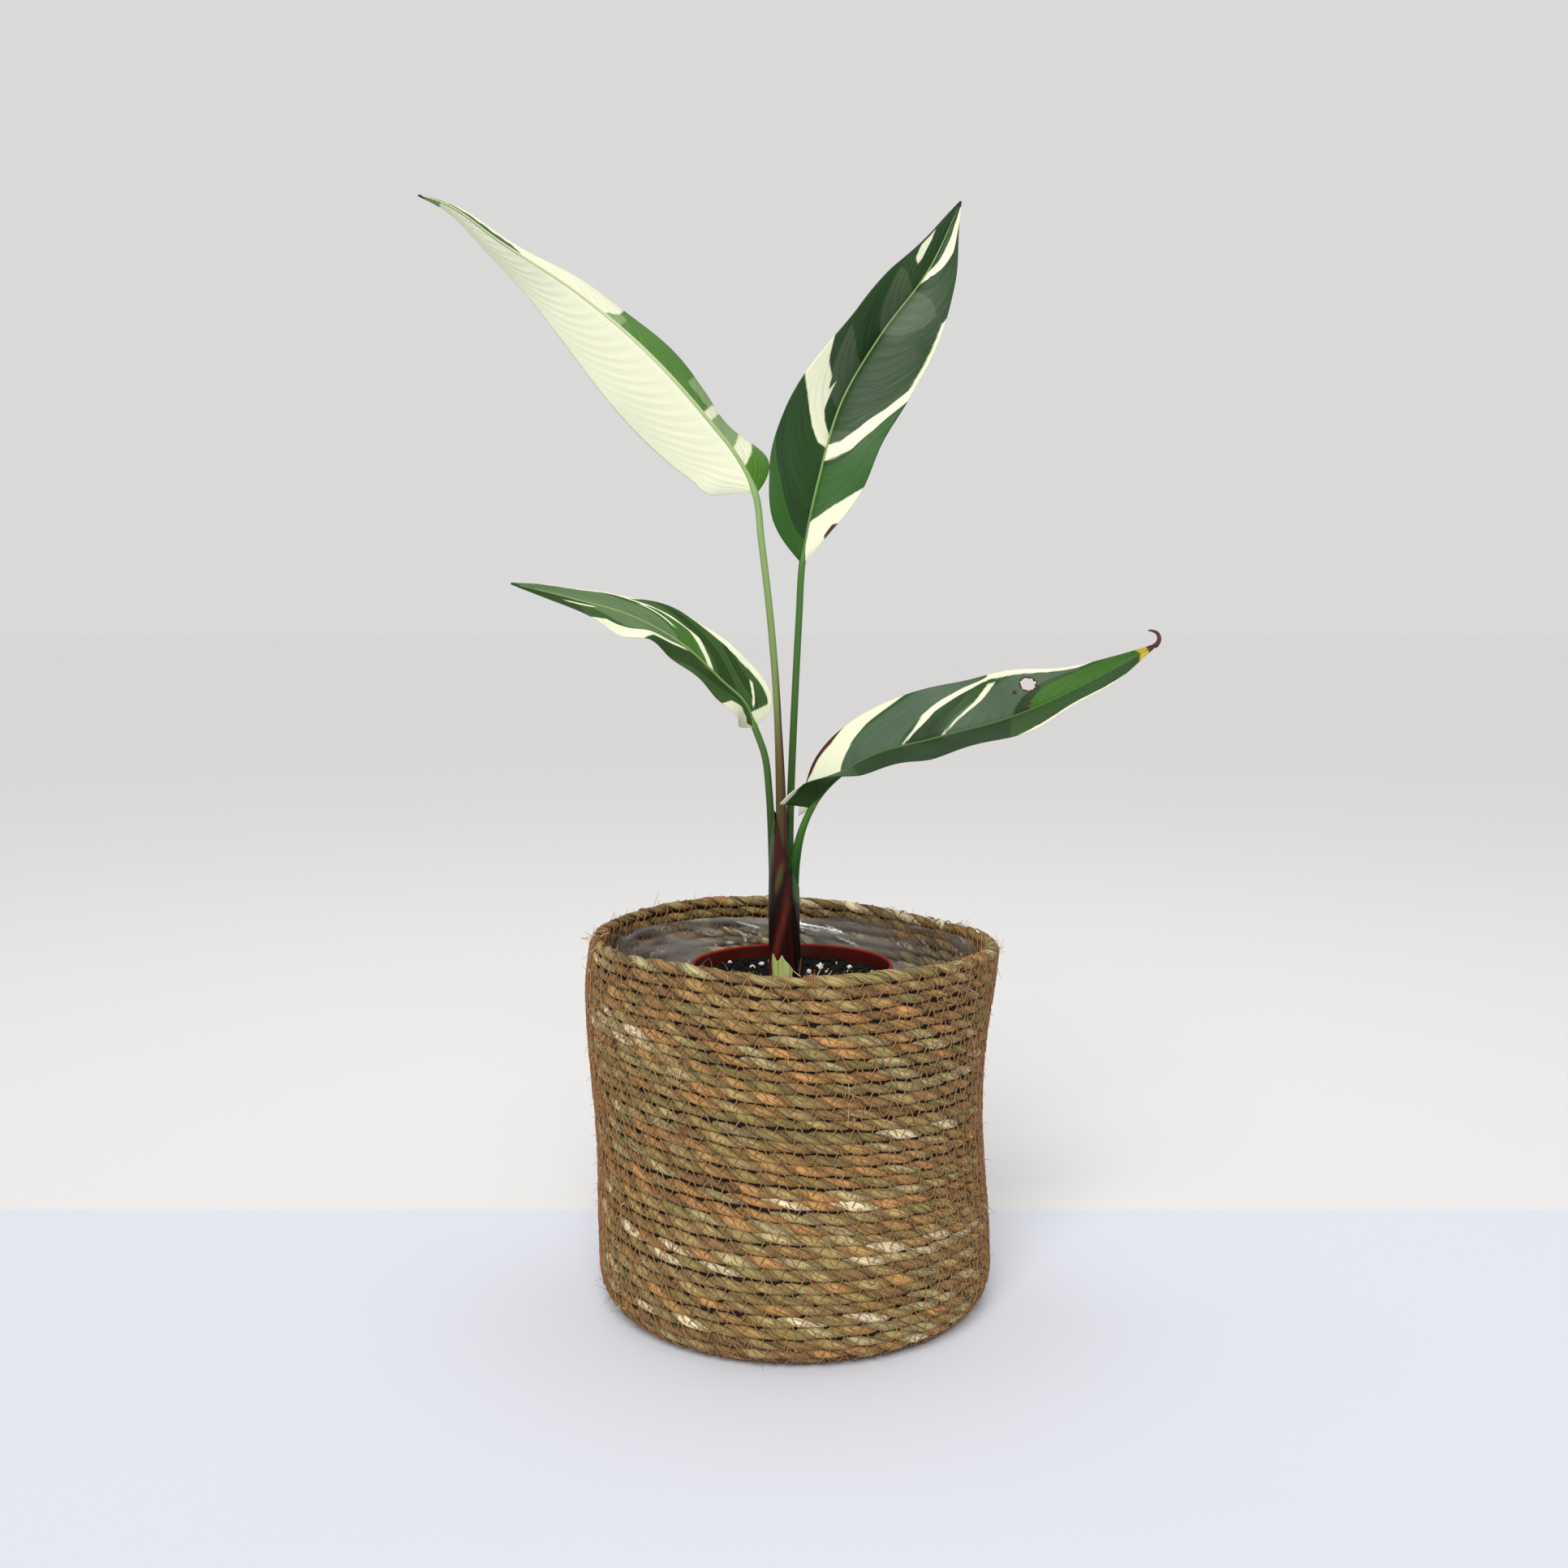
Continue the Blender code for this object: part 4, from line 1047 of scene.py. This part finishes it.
def make_pot():
    """Injection moulded polypropylene, terracotta brown: satin, with a thin rolled rim that catches light.
    Its browns are darkened to near black as painted shade, and the rim's top is painted lighter as a painted
    highlight.
    """
    material = new_material("terracotta_polypropylene", Roughness=0.45, Specular_IOR_Level=0.08)
    place = object_place(material)
    dust = stretched_noise(material, place, (60.0, 60.0, 200.0))
    height = add(material, "ShaderNodeSeparateXYZ", {0: place}).outputs[2]
    # Painted shade and painted highlight: the body's browns are darkened to near black, and the top of the
    # rolled rim is a lighter red.
    lip_highlight_share = mapped(material, height, POT_TOP - 0.0012, POT_TOP - 0.0006)
    plain = mixed(material, dust, linear("310803"), linear("470f06"))
    feed(material, "Base Color", mixed(material, lip_highlight_share, plain, linear("8c2212")))
    grain = stretched_noise(material, place, (900.0, 900.0, 900.0))
    bumped(material, grain, 0.00008)
    foot, wall = POT_FOOT, POT_WALL
    lip = POT_TOP - POT_RIM_HEIGHT
    taper = (POT_BODY_RADIUS - POT_FOOT_RADIUS) / (POT_TOP - foot)
    outer_at_lip = POT_FOOT_RADIUS + taper * (lip - foot)
    roll = [
        (POT_RIM_RADIUS - 0.0009 + 0.0009 * math.cos(turn), POT_TOP - 0.0009 + 0.0009 * math.sin(turn))
        for turn in np.linspace(math.pi * 0.9, 0.0, 8)
    ]
    profile = [
        (0.0, foot + wall), (POT_FOOT_RADIUS - wall - 0.002, foot + wall),
        (POT_FOOT_RADIUS - wall - 0.0004, foot + wall + 0.002),
        (POT_BODY_RADIUS - wall - 0.0006, lip - 0.001),
        (POT_BODY_RADIUS - wall, lip + 0.001), (POT_RIM_RADIUS - 0.0022, POT_TOP - 0.0014), *roll,
        (POT_RIM_RADIUS, lip), (POT_RIM_RADIUS - 0.0012, lip), (POT_RIM_RADIUS - 0.0014, lip + 0.001),
        (outer_at_lip, lip + 0.001), (outer_at_lip, lip), (POT_FOOT_RADIUS, foot + 0.002),
        (POT_FOOT_RADIUS - 0.002, foot), (0.0, foot),
    ]
    piece = turned_piece("plastic_pot", profile, 128, POT_CENTRE_X)
    settle(piece, material, "terracotta_plastic", "nursery_pot")


def soil_height(x, y):
    heave = np.sin(x * 310 + 1.3) * np.cos(y * 260 - 0.4) + 0.6 * np.sin(x * 520 - y * 470)
    return SOIL_TOP + SOIL_HEAVE * heave / 1.6


def lump(name, places, subdivisions, material, draw):
    """Rough grains at the places (x, y, z, radius), each a knocked-about ball, joined as one piece."""
    grains = []
    for x, y, z, radius in places:
        bpy.ops.object.select_all(action="DESELECT")
        bpy.ops.mesh.primitive_ico_sphere_add(subdivisions=subdivisions, radius=radius)
        grain = bpy.context.object
        squash = draw.uniform(0.7, 1.15, 3)
        seed = Vector(draw.uniform(0, 50, 3))
        for vertex in grain.data.vertices:
            knock = 1 + 0.32 * noise.noise(vertex.co * (1.3 / radius) + seed)
            vertex.co = Vector(part * stretch for part, stretch in zip(vertex.co * knock, squash))
            vertex.co += Vector((x, y, z))
        grains.append(grain)
    bpy.ops.object.select_all(action="DESELECT")
    for grain in grains:
        grain.select_set(True)
    bpy.context.view_layer.objects.active = grains[0]
    bpy.ops.object.join()
    grains[0].name = name
    settle(grains[0], material, "peat_soil")


def make_soil():
    """Damp peat: near black crumbs, with expanded perlite as matt white pebbles."""
    peat = new_material("damp_peat", Roughness=0.9, Specular_IOR_Level=0.2)
    place = object_place(peat)
    crumb = stretched_noise(peat, place, (500.0, 500.0, 500.0), detail=5.0)
    feed(peat, "Base Color", mixed(peat, crumb, linear("030201"), linear("120906")))
    bumped(peat, crumb, 0.0010)
    perlite = new_material("expanded_perlite", Roughness=0.8)
    place = object_place(perlite)
    pores = stretched_noise(perlite, place, (1500.0, 1500.0, 1500.0))
    feed(perlite, "Base Color", mixed(perlite, pores, linear("b9b2a6"), linear("f6f3ec")))
    bumped(perlite, pores, 0.0004)

    edge = POT_BODY_RADIUS - POT_WALL - 0.0014
    rings = [(edge * share, SOIL_TOP) for share in np.linspace(0.0, 1.0, 48)]
    profile = [*rings, (POT_FOOT_RADIUS - POT_WALL - 0.0012, POT_FOOT + 0.004), (0.0, POT_FOOT + 0.0016)]

    def heaved(points):
        x, y = points[:, 0] + POT_CENTRE_X, points[:, 1]
        top = points[:, 2] > SOIL_TOP - 0.0001
        rough = np.array([noise.fractal((a * 260, b * 260, 0.0), 0.9, 2.0, 4) for a, b in zip(x, y)])
        fade = np.clip((edge - np.hypot(points[:, 0], y)) / 0.004, 0.0, 1.0)
        points[:, 2] += np.where(top, (soil_height(x, y) - SOIL_TOP) * fade + SOIL_ROUGHNESS * rough, 0.0)
        return points

    piece = turned_piece("peat_bed", profile, 160, POT_CENTRE_X, heaved)
    settle(piece, peat, "peat_soil", "potting_soil")

    draw = np.random.default_rng(31)
    pebbles = [(x, y, soil_height(x, y) + 0.25 * radius, radius) for x, y, radius in GRAINS]
    crumbs = []
    for (count, smallest, largest), heap in ((SMALL_PERLITE, pebbles), (PEAT_CRUMBS, crumbs)):
        for _ in range(count):
            turn, reach = draw.uniform(0, 2 * math.pi), (edge - 0.002) * math.sqrt(draw.random())
            x, y = POT_CENTRE_X + reach * math.cos(turn), reach * math.sin(turn)
            radius = draw.uniform(smallest, largest)
            if math.hypot(x - STEM_X, y) > STEM_CLEARANCE:
                heap.append((x, y, soil_height(x, y) + 0.4 * radius, radius))
    lump("perlite_grains", pebbles, 3, perlite, draw)
    lump("peat_crumbs", crumbs, 1, peat, draw)


def leaf_line(leaf):
    """The stalk and the midrib as one smooth line, the length along it, and where the blade begins."""
    knots = np.array(leaf["stalk"] + leaf["midrib"])
    marks = lengths_along(knots)
    line = smooth_values(marks, knots, np.linspace(0.0, marks[-1], 600))
    along = lengths_along(line)
    base = np.argmin(np.linalg.norm(line - np.array(leaf["midrib"][0]), axis=1))
    return line, along, along[base]


def at_lengths(line, along, lengths):
    return np.stack([np.interp(lengths, along, line[:, axis]) for axis in range(3)], axis=1)


def facing_front(tangent):
    """Directions square to the tangents, which face the front as far as they can."""
    front = np.array((0.0, -1.0, 0.0))
    return unit(front - (tangent @ front)[:, None] * tangent)


def blade_points(leaf, side, shares, across):
    """Points of one half of the blade, and the directions that they face."""
    line, along, base = leaf_line(leaf)
    lengths = base + shares * (along[-1] - base)
    points = at_lengths(line, along, lengths)
    step = 0.001
    tangent = unit(at_lengths(line, along, lengths + step) - at_lengths(line, along, lengths - step))
    normal = facing_front(tangent)
    sideways = np.cross(tangent, normal)
    table = np.array(leaf["sections"], dtype=float)
    half = 0 if side < 0 else 1
    width, tilt = smooth_values(table[:, 0], table[:, 1 + 2 * half:3 + 2 * half], shares).T
    width = np.maximum(width, 0.5) / 1000
    tilt = np.radians(tilt)
    arch = math.radians(leaf["arch"][half])
    sweep = math.radians(leaf["lobes"][half]) * np.maximum(1 - shares / LOBE_SHARE, 0.0)
    outward = side * sideways * np.cos(sweep)[:, None] - tangent * np.sin(sweep)[:, None]
    face = normal * np.cos(tilt)[:, None] - side * sideways * np.sin(tilt)[:, None]
    turn = tilt + arch - 2 * arch * across
    run = (np.sin(tilt + arch) - np.sin(turn)) / (2 * arch)
    rise = (np.cos(turn) - np.cos(tilt + arch)) / (2 * arch)
    wave = leaf["ripple"] * across**2 * np.sin(2 * math.pi * leaf["waves"] * shares + side)
    wave = wave * np.minimum(width / FULL_RIPPLE_WIDTH, 1.0)
    return points + outward * (width * run)[:, None] + normal * (width * rise)[:, None], face, wave


def vein_run(leaf, shares, across):
    """Which side vein a point lies on, as millimetres along the midrib. The veins sweep towards the tip."""
    _, along, base = leaf_line(leaf)
    sweep, power = leaf["vein_sweep"]
    return 1000 * (along[-1] - base) * (shares - sweep * across**power)


def band_field(band, shares, across):
    """How far inside a band a point lies, as a share of the midrib, and below 0 outside it."""
    out, begins, ends = np.array(band, dtype=float).T
    field = np.minimum(shares - np.interp(across, out, begins), np.interp(across, out, ends) - shares)
    slimness = 0.15
    if out[0] > 0:
        field = np.minimum(field, (across - out[0]) * slimness)
    if out[-1] < 1:
        field = np.minimum(field, (out[-1] - across) * slimness)
    return field


def marking_values(name, side, shares, across):
    """For each paint, 0.5 at the edge of its bands and up to 1 inside them."""
    marks = MARKINGS[name, side]
    reach = 0.03
    values = {}
    for kind in PAINTS:
        fields = [band_field(band, shares, across) for band in marks.get(kind, ())]
        field = np.max(fields, axis=0) if fields else np.full(len(shares), -1.0)
        values[kind] = np.clip(0.5 + 0.5 * field / reach, 0.0, 1.0)
    return values


def make_blade(name, leaf, material):
    """A blade as one thin sheet with shallow pleats along its veins."""
    values = {}

    def surface(across, along):
        side = np.where(across < 0.5, -1, 1)
        out = np.abs(2 * across - 1)
        shares = along**1.08
        points = np.empty((len(out), 3))
        values["vein"] = vein_run(leaf, shares, out)
        values["out"] = out
        values["share"] = shares
        for half in (-1, 1):
            here = side == half
            place, face, wave = blade_points(leaf, half, shares[here], out[here])
            pleat = PLEAT_DEPTH * np.sin(2 * math.pi * values["vein"][here] / PLEAT_WIDTH)
            pleat = pleat * np.sin(math.pi * out[here])
            groove = GROOVE_DEPTH * np.exp(-((out[here] / 0.05) ** 2))
            points[here] = place + face * (wave + pleat - groove)[:, None]
            for kind, field in marking_values(name, half, shares[here], out[here]).items():
                values.setdefault(kind, np.zeros(len(out)))[here] = field
        return points

    piece, across, _ = bent_grid(name + "_blade", 2 * HALF_COLUMNS, BLADE_ROWS, surface)
    paint(piece, "ground", *(values[kind] for kind in ("dark", "bright_and_lit", "grey_and_sheen", "cream")))
    blank = np.zeros(len(across))
    if name == "leaf_lower_right":
        near = np.hypot((values["share"] - HOLE[0]) / HOLE[2], (values["out"] - HOLE[1]) / HOLE[3])
        near = np.where(across < 0.5, near, 9.0)
        values["brown"] = np.maximum(values["brown"], np.clip(1.95 - near, 0.0, 0.9))
        for share, out, length, width in SCARS:
            far = np.hypot((values["share"] - share) / length, (values["out"] - out) / width)
            scar = np.where(across < 0.5, np.clip(1.4 - far, 0.0, 0.9), 0.0)
            values["brown"] = np.maximum(values["brown"], scar)
    paint(piece, "marks", values["brown"], values["yellow"], blank, blank)
    measure(piece, "vein", values["vein"])
    if name == "leaf_lower_right":
        cut_hole(piece, near < 1)
    apply_modifier(piece, "SOLIDIFY", thickness=BLADE_THICKNESS, offset=0.0)
    settle(piece, material, "variegated_leaf", name)


def cut_hole(piece, inside):
    """Deletes the points that are inside the hole."""
    edit(piece, lambda: bpy.ops.mesh.select_all(action="DESELECT"))
    for vertex, gone in zip(piece.data.vertices, inside):
        vertex.select = bool(gone)
    bpy.ops.object.mode_set(mode="EDIT")
    bpy.ops.mesh.delete(type="VERT")
    bpy.ops.object.mode_set(mode="OBJECT")


def make_blade_material(name, green, dark, bright_and_lit, grey_and_sheen):
    """Living leaf blade: satin wax over green tissue, bleached to cream where it has no green in it."""
    material = new_material(name, Roughness=0.42, Specular_IOR_Level=0.3)
    ground = add(material, "ShaderNodeAttribute", attribute_name="ground")
    vein = stored(material, "vein", "Fac")
    place = pattern_place(material)
    out = add(material, "ShaderNodeSeparateXYZ", {0: place}).outputs[0]
    along_vein = add(material, "ShaderNodeCombineXYZ", {0: vein, 1: out}).outputs[0]
    feather = stretched_noise(material, along_vein, (0.55, 5.0, 1.0), detail=4.0)
    streak = stretched_noise(material, along_vein, (0.9, 2.5, 1.0), detail=3.0)
    fine = stretched_noise(material, along_vein, (2.2, 3.0, 1.0), detail=1.0)
    split = add(material, "ShaderNodeSeparateColor", {0: ground.outputs["Color"]})
    spots = add(material, "ShaderNodeSeparateColor", {0: stored(material, "marks")})
    wobble = mapped(material, feather, low_result=-0.11, high_result=0.11)
    colour = linear(green)
    # The grey layer is partly painted sheen.
    layers = (
        (split.outputs[0], dark), (split.outputs[1], bright_and_lit), (split.outputs[2], grey_and_sheen),
        (ground.outputs["Alpha"], "f1f3d2"), (spots.outputs[1], "c9b53a"), (spots.outputs[0], "4a2413"),
    )
    plain = None
    for mask, tone in layers:
        share = mapped(material, worked_out(material, "ADD", mask, wobble), 0.46, 0.54)
        colour = mixed(material, share, colour, linear(tone))
        if mask == ground.outputs["Alpha"]:
            plain = mapped(material, share, low_result=1.0, high_result=0.25)
    shade = mapped(material, streak, 0.3, 0.7, 0.84, 1.14)
    feed(material, "Base Color", mixed(material, plain, colour, shade, "MULTIPLY"))
    bumped(material, worked_out(material, "ADD", streak, fine), 0.00013)
    return material


def make_stalk(name, leaf, material, tones):
    """A leaf's stalk with its midrib, which sits a little behind the blade's front face."""
    line, along, base = leaf_line(leaf)
    stalk = np.linspace(0.0, base, STALK_ROWS)[:-1]
    lengths = np.concatenate((stalk, np.linspace(base, along[-1], MIDRIB_ROWS)))
    points = at_lengths(line, along, lengths)
    share = np.clip((lengths - base) / (along[-1] - base), 0.0, 1.0)
    tangent = unit(np.gradient(points, axis=0))
    normal = facing_front(tangent)
    radius = np.where(
        share > 0.0,
        MIDRIB_RADIUS + (TIP_RADIUS - MIDRIB_RADIUS) * share + 0.0007 * np.exp(-share / 0.04),
        STALK_RADIUS - STALK_TAPER * lengths / base,
    )
    sink = np.clip(share / 0.03, 0.0, 1.0) * radius * 0.62
    points = points - normal * sink[:, None]
    widen = 1 + 0.9 * np.clip((0.292 - points[:, 2]) / 0.045, 0.0, 1.0) ** 1.5
    if name == "leaf_upper_left":
        widen = np.maximum(widen, 1 + 0.4 * np.clip((0.345 - points[:, 2]) / 0.05, 0.0, 1.0))
    inward = np.array((STEM_X, 0.0, 0.0)) - points * np.array((1.0, 1.0, 0.0))
    points = points + unit(inward) * (radius * (widen - 1))[:, None]
    piece, across, run = bar_piece(name + "_stalk", points, normal, (radius * widen, radius * widen), 14)
    row = nearest_row(run, len(points))
    heights, colours = zip(*tones)
    table = np.array([linear(colour)[:3] for colour in colours])
    z = points[row, 2]
    tint = np.stack([np.interp(z, heights, table[:, part]) for part in range(3)], axis=1)
    if name == "leaf_upper_left":
        rust = np.clip((0.385 - z) / 0.03, 0.0, 1.0)
        rust = rust * np.clip(np.sin(2 * math.pi * across) * 1.6 - 0.4, 0.0, 1.0)
        tint = tint + (np.array(linear("4a1410")[:3]) - tint) * rust[:, None]
    paint(piece, "tint", tint)
    edit(piece, merge_points, face_out)
    settle(piece, material, "variegated_leaf", name)


def make_dry_tip():
    """The lower right leaf's dead tip: brown, papery and curled back."""
    material = new_material("dried_leaf_tip", Roughness=0.7, Base_Color=linear("4d2a1c"))
    line = smooth_values(range(len(DRY_TIP)), DRY_TIP, np.linspace(0.0, len(DRY_TIP) - 1, DRY_TIP_ROWS))
    front = np.tile((0.0, -1.0, 0.0), (DRY_TIP_ROWS, 1))
    thin = np.full(DRY_TIP_ROWS, 0.0003)
    broad = 0.0013 * (1 - np.linspace(0.0, 1.0, DRY_TIP_ROWS)) ** 0.7 + thin
    piece, _, _ = bar_piece("dry_tip", line, front, (thin, broad), 10)
    edit(piece, merge_points, face_out)
    settle(piece, material, "variegated_leaf")


# Colours of the sheaths. The near-black one is painted shade.
SHEATH_TONES = dict(
    shade_black="120c06", maroon="42110d", rose="5f2a23", olive="514a24", green="3a5a28", brown="220b08",
    tan="7c5c3c",
)


def make_stem(material):
    """Rolled leaf sheaths: maroon wedge in front, green patches on near-black sides, and a slanting mouth
    round the stalks. The near-black ground and the dark lines along a fold and a sheath's edge are painted
    shade.
    """
    heights, radii = zip(*STEM_RADII)
    (left_x, left_z), (right_x, right_z) = SHEATH_MOUTH_LEFT, SHEATH_MOUTH_RIGHT
    slope = (right_z - left_z) / (right_x - left_x)
    low, rows = heights[0] + 0.02, 150

    def surface(across, along):
        turn = 2 * math.pi * across
        shell = np.clip(along / 0.9, 0.0, 1.0)
        top = left_z + slope * (0.0084 * np.cos(turn) + STEM_X - left_x)
        top = np.minimum(top, heights[-1])
        z = low + (top - low) * shell
        radius = smooth_values(heights, radii, np.clip(z, heights[0], heights[-1]))
        lap = (turn + 26 * (z - 0.2)) % (2 * math.pi)
        radius = radius + 0.0006 * np.exp(-lap / 0.5) + 0.00012 * np.sin(9 * turn + 40 * z)
        inward = np.clip((along - 0.9) / 0.1, 0.0, 1.0)
        radius = radius * (1 - inward)
        z = z - 0.010 * inward
        return np.stack((STEM_X + radius * np.cos(turn), radius * np.sin(turn), z), axis=1)

    piece, _, _ = bent_grid("rolled_sheaths", 64, rows, surface)
    x, _, z = read_points(piece).T
    millimetres = (x - STEM_X) * 1000

    def blend(colour, key, share):
        tone = np.array(linear(SHEATH_TONES[key])[:3])
        return colour + (tone - colour) * np.clip(share, 0.0, 1.0)[:, None]

    # The ground is near black: painted shade on the stem's sides.
    colour = np.tile(linear(SHEATH_TONES["shade_black"])[:3], (len(x), 1))
    wedge = np.interp(z, (0.258, 0.264, 0.292), (4.6, 4.3, 0.2))
    colour = blend(colour, "maroon", 1.5 * (wedge - np.abs(millimetres + 2.6 + (z - 0.264) * 68)))
    colour = blend(colour, "brown", (z < 0.258) * (1.6 - np.abs(millimetres + 0.4) / 4.4))
    patch = np.hypot((millimetres + 2.9 - (z - 0.254) * 190) / 2.5, (z - 0.254) / 0.012)
    colour = blend(colour, "olive", 1.5 - 1.5 * patch)
    # Painted shade: a dark line along a fold in the sheaths.
    fold = millimetres + 5.3 - (z - 0.235) * 314
    colour = blend(colour, "shade_black", 1.3 - np.abs(fold) / 1.1)
    stripe = millimetres + 3.2 - (z - 0.218) * 234
    colour = blend(colour, "maroon", (z < 0.256) * (1.6 - np.abs(stripe) / 2.6))
    colour = blend(colour, "rose", np.clip((0.248 - z) / 0.02, 0.0, 1.0) * (1.1 - np.abs(stripe) / 2.3))
    colour = blend(colour, "green", np.clip((z - 0.255) / 0.02, 0.0, 1.0) * (np.abs(millimetres + 7.6) < 1.8))
    colour = blend(colour, "green", np.clip((z - 0.258) / 0.012, 0.0, 1.0) * (millimetres - 2.2))
    edge_share = np.clip((z - 0.238) / 0.012, 0.0, 1.0)
    # Painted shade: a dark line where a sheath's edge lies over the next.
    colour = blend(colour, "shade_black", (z > 0.24) * (z < 0.262) * (1 - np.abs(millimetres - 4.3)))
    colour = blend(colour, "green", edge_share * 1.5 * (millimetres - 4.8))
    colour = blend(colour, "tan", np.clip((z - 0.276) / 0.01, 0.0, 1.0) * (1.9 - np.abs(millimetres - 0.3)))
    paint(piece, "tint", colour)
    edit(piece, merge_points, lambda: bpy.ops.mesh.fill_holes(sides=0), face_out)
    settle(piece, material, "leaf_sheath", "pseudostem")


def make_shoot():
    """Young scale leaf: a pale, waxy folded sheet, with a tall left tip and a low right flap."""
    material = new_material("pale_scale_leaf", Roughness=0.42)
    place = pattern_place(material)
    streak = stretched_noise(material, place, (14.0, 1.5, 1.0))
    feed(material, "Base Color", mixed(material, streak, linear("8a984f"), linear("c3cc86")))
    bumped(material, streak, 0.0003)
    shares, tops, heights, depths, feet = np.array(SHOOT_EDGE).T

    def surface(across, along):
        top = np.interp(across, shares, tops)
        foot = np.interp(across, shares, feet)
        height = np.interp(across, shares, heights)
        depth = np.interp(across, shares, depths)
        x = foot + (top - foot) * along**0.6
        z = SHOOT_FOOT + (height - SHOOT_FOOT) * along
        return np.stack((x, -depth * (1 - 0.06 * along), z), axis=1) / 1000

    piece, _, _ = bent_grid("folded_scale_leaf", 30, 24, surface)
    apply_modifier(piece, "SOLIDIFY", thickness=0.0005, offset=0.0)
    apply_modifier(piece, "SUBSURF", levels=1, render_levels=1)
    settle(piece, material, "scale_leaf", "new_shoot")


def make_tint_material(name, rough):
    """Smooth living stalk and sheath: a waxy skin with fine lengthwise lines."""
    material = new_material(name, Roughness=rough, Specular_IOR_Level=0.25)
    tint = stored(material, "tint")
    place = pattern_place(material)
    lines = stretched_noise(material, place, (22.0, 3.0, 1.0))
    shade = mapped(material, lines, 0.3, 0.7, 0.82, 1.18)
    feed(material, "Base Color", mixed(material, 1.0, tint, shade, "MULTIPLY"))
    bumped(material, lines, 0.0002)
    return material


# Colours of the stalks and midribs by height.
STALK_TONES = {
    "leaf_upper_left": (
        (0.24, "2a1a0d"), (0.30, "5a4a2a"), (0.33, "67603a"), (0.36, "7a8c50"), (0.48, "8fae6c"),
        (0.52, "b4c88a"), (0.56, "d3dcae"), (0.66, "cdd6a4"),
    ),
    "leaf_upper_right": (
        (0.24, "24300f"), (0.30, "35521f"), (0.36, "41662c"), (0.44, "4f7a3a"), (0.50, "7f9f60"),
        (0.66, "a3b87c"),
    ),
    "leaf_lower_left": (
        (0.24, "1f2a12"), (0.29, "35521f"), (0.34, "4f7432"), (0.36, "7c9a58"), (0.43, "93a86c"),
    ),
    "leaf_lower_right": (
        (0.23, "12200b"), (0.255, "1f4a16"), (0.27, "2f5a1c"), (0.29, "4c7c2e"), (0.31, "56783c"),
        (0.33, "4d6c3e"), (0.40, "55743c"),
    ),
}

# Tissue colours of each blade: the ground, and its dark, bright and grey panels. The grey panels are partly
# painted sheen.
# The bright panels are partly painted light.
BLADE_TONES = {
    "leaf_upper_left": ("5c8038", "35581f", "4d7f24", "86a46a"),
    "leaf_upper_right": ("28461e", "21401a", "305c1e", "46593c"),
    "leaf_lower_left": ("3a5a27", "294518", "47702c", "5f7a50"),
    "leaf_lower_right": ("2f4f22", "1f3a17", "38681a", "4a6148"),
}


def make_plant():
    skin = make_tint_material("waxy_stalk_skin", 0.4)
    for name, leaf in LEAVES.items():
        make_blade(name, leaf, make_blade_material(name + "_tissue", *BLADE_TONES[name]))
        make_stalk(name, leaf, skin, STALK_TONES[name])
    make_dry_tip()
    make_stem(make_tint_material("waxy_sheath_skin", 0.33))
    make_shoot()


def add_light(kind, name, place, aim, energy, **settings):
    """A lamp that stands at the place and shines along the aim."""
    bpy.ops.object.light_add(type=kind, location=place)
    lamp = bpy.context.object
    lamp.name = name
    lamp.data.energy = energy
    for key, value in settings.items():
        setattr(lamp.data, key, value)
    lamp.rotation_euler = Vector(aim).to_track_quat("-Z", "Y").to_euler()


def make_setting():
    """A white table in front of a pale floor, soft light from the front left, and the camera."""
    bpy.ops.object.select_all(action="DESELECT")
    bpy.ops.mesh.primitive_plane_add(size=60, location=(0, 0, 0))
    floor = bpy.context.object
    floor.name = "pale_floor"
    card = new_material("pale_card", Roughness=1.0, Specular_IOR_Level=0.0)
    place = object_place(card)
    back = add(card, "ShaderNodeSeparateXYZ", {0: place}).outputs[1]
    behind = mapped(card, back, TABLE_EDGE - EDGE_BLEND, TABLE_EDGE + EDGE_BLEND)
    feed(card, "Base Color", mixed(card, behind, linear("e4e7f0"), linear("edecec")))
    floor.data.materials.append(card)

    add_light(
        "SUN", "window_light", (-1.2, -2.2, 2.1), (0.16, 1.0, -0.9), 2.35,
        angle=math.radians(35), color=(1.0, 0.99, 0.97),
    )
    add_light(
        "AREA", "ceiling_light", (0.0, 0.35, 1.9), (0.0, -0.3, -1.7), 8,
        shape="RECTANGLE", size=1.6, size_y=1.2,
    )
    add_light(
        "AREA", "film_glint", (0.25, -1.5, 1.15), (-0.25, 1.5, -0.95), 3,
        shape="RECTANGLE", size=0.5, size_y=0.08,
    )

    world = bpy.data.worlds.new("studio_air")
    world.use_nodes = True
    tree = world.node_tree
    seen = tree.nodes.new("ShaderNodeLightPath").outputs["Is Camera Ray"]
    strength = tree.nodes.new("ShaderNodeMapRange")
    tree.links.new(seen, strength.inputs[0])
    strength.inputs[3].default_value = AIR_LIGHT
    strength.inputs[4].default_value = AIR_SEEN
    air = tree.nodes["Background"]
    air.inputs["Color"].default_value = (1.0, 0.995, 0.99, 1.0)
    tree.links.new(strength.outputs[0], air.inputs["Strength"])
    bpy.context.scene.world = world
    bpy.context.scene.view_settings.view_transform = "Standard"
    bpy.ops.object.camera_add(location=CAMERA_PLACE, rotation=CAMERA_TURN)
    camera = bpy.context.object
    camera.data.lens = CAMERA_LENS
    camera.data.sensor_width = CAMERA_SENSOR
    bpy.context.scene.camera = camera


make_setting()
make_basket()
make_liner()
make_pot()
make_soil()
make_plant()
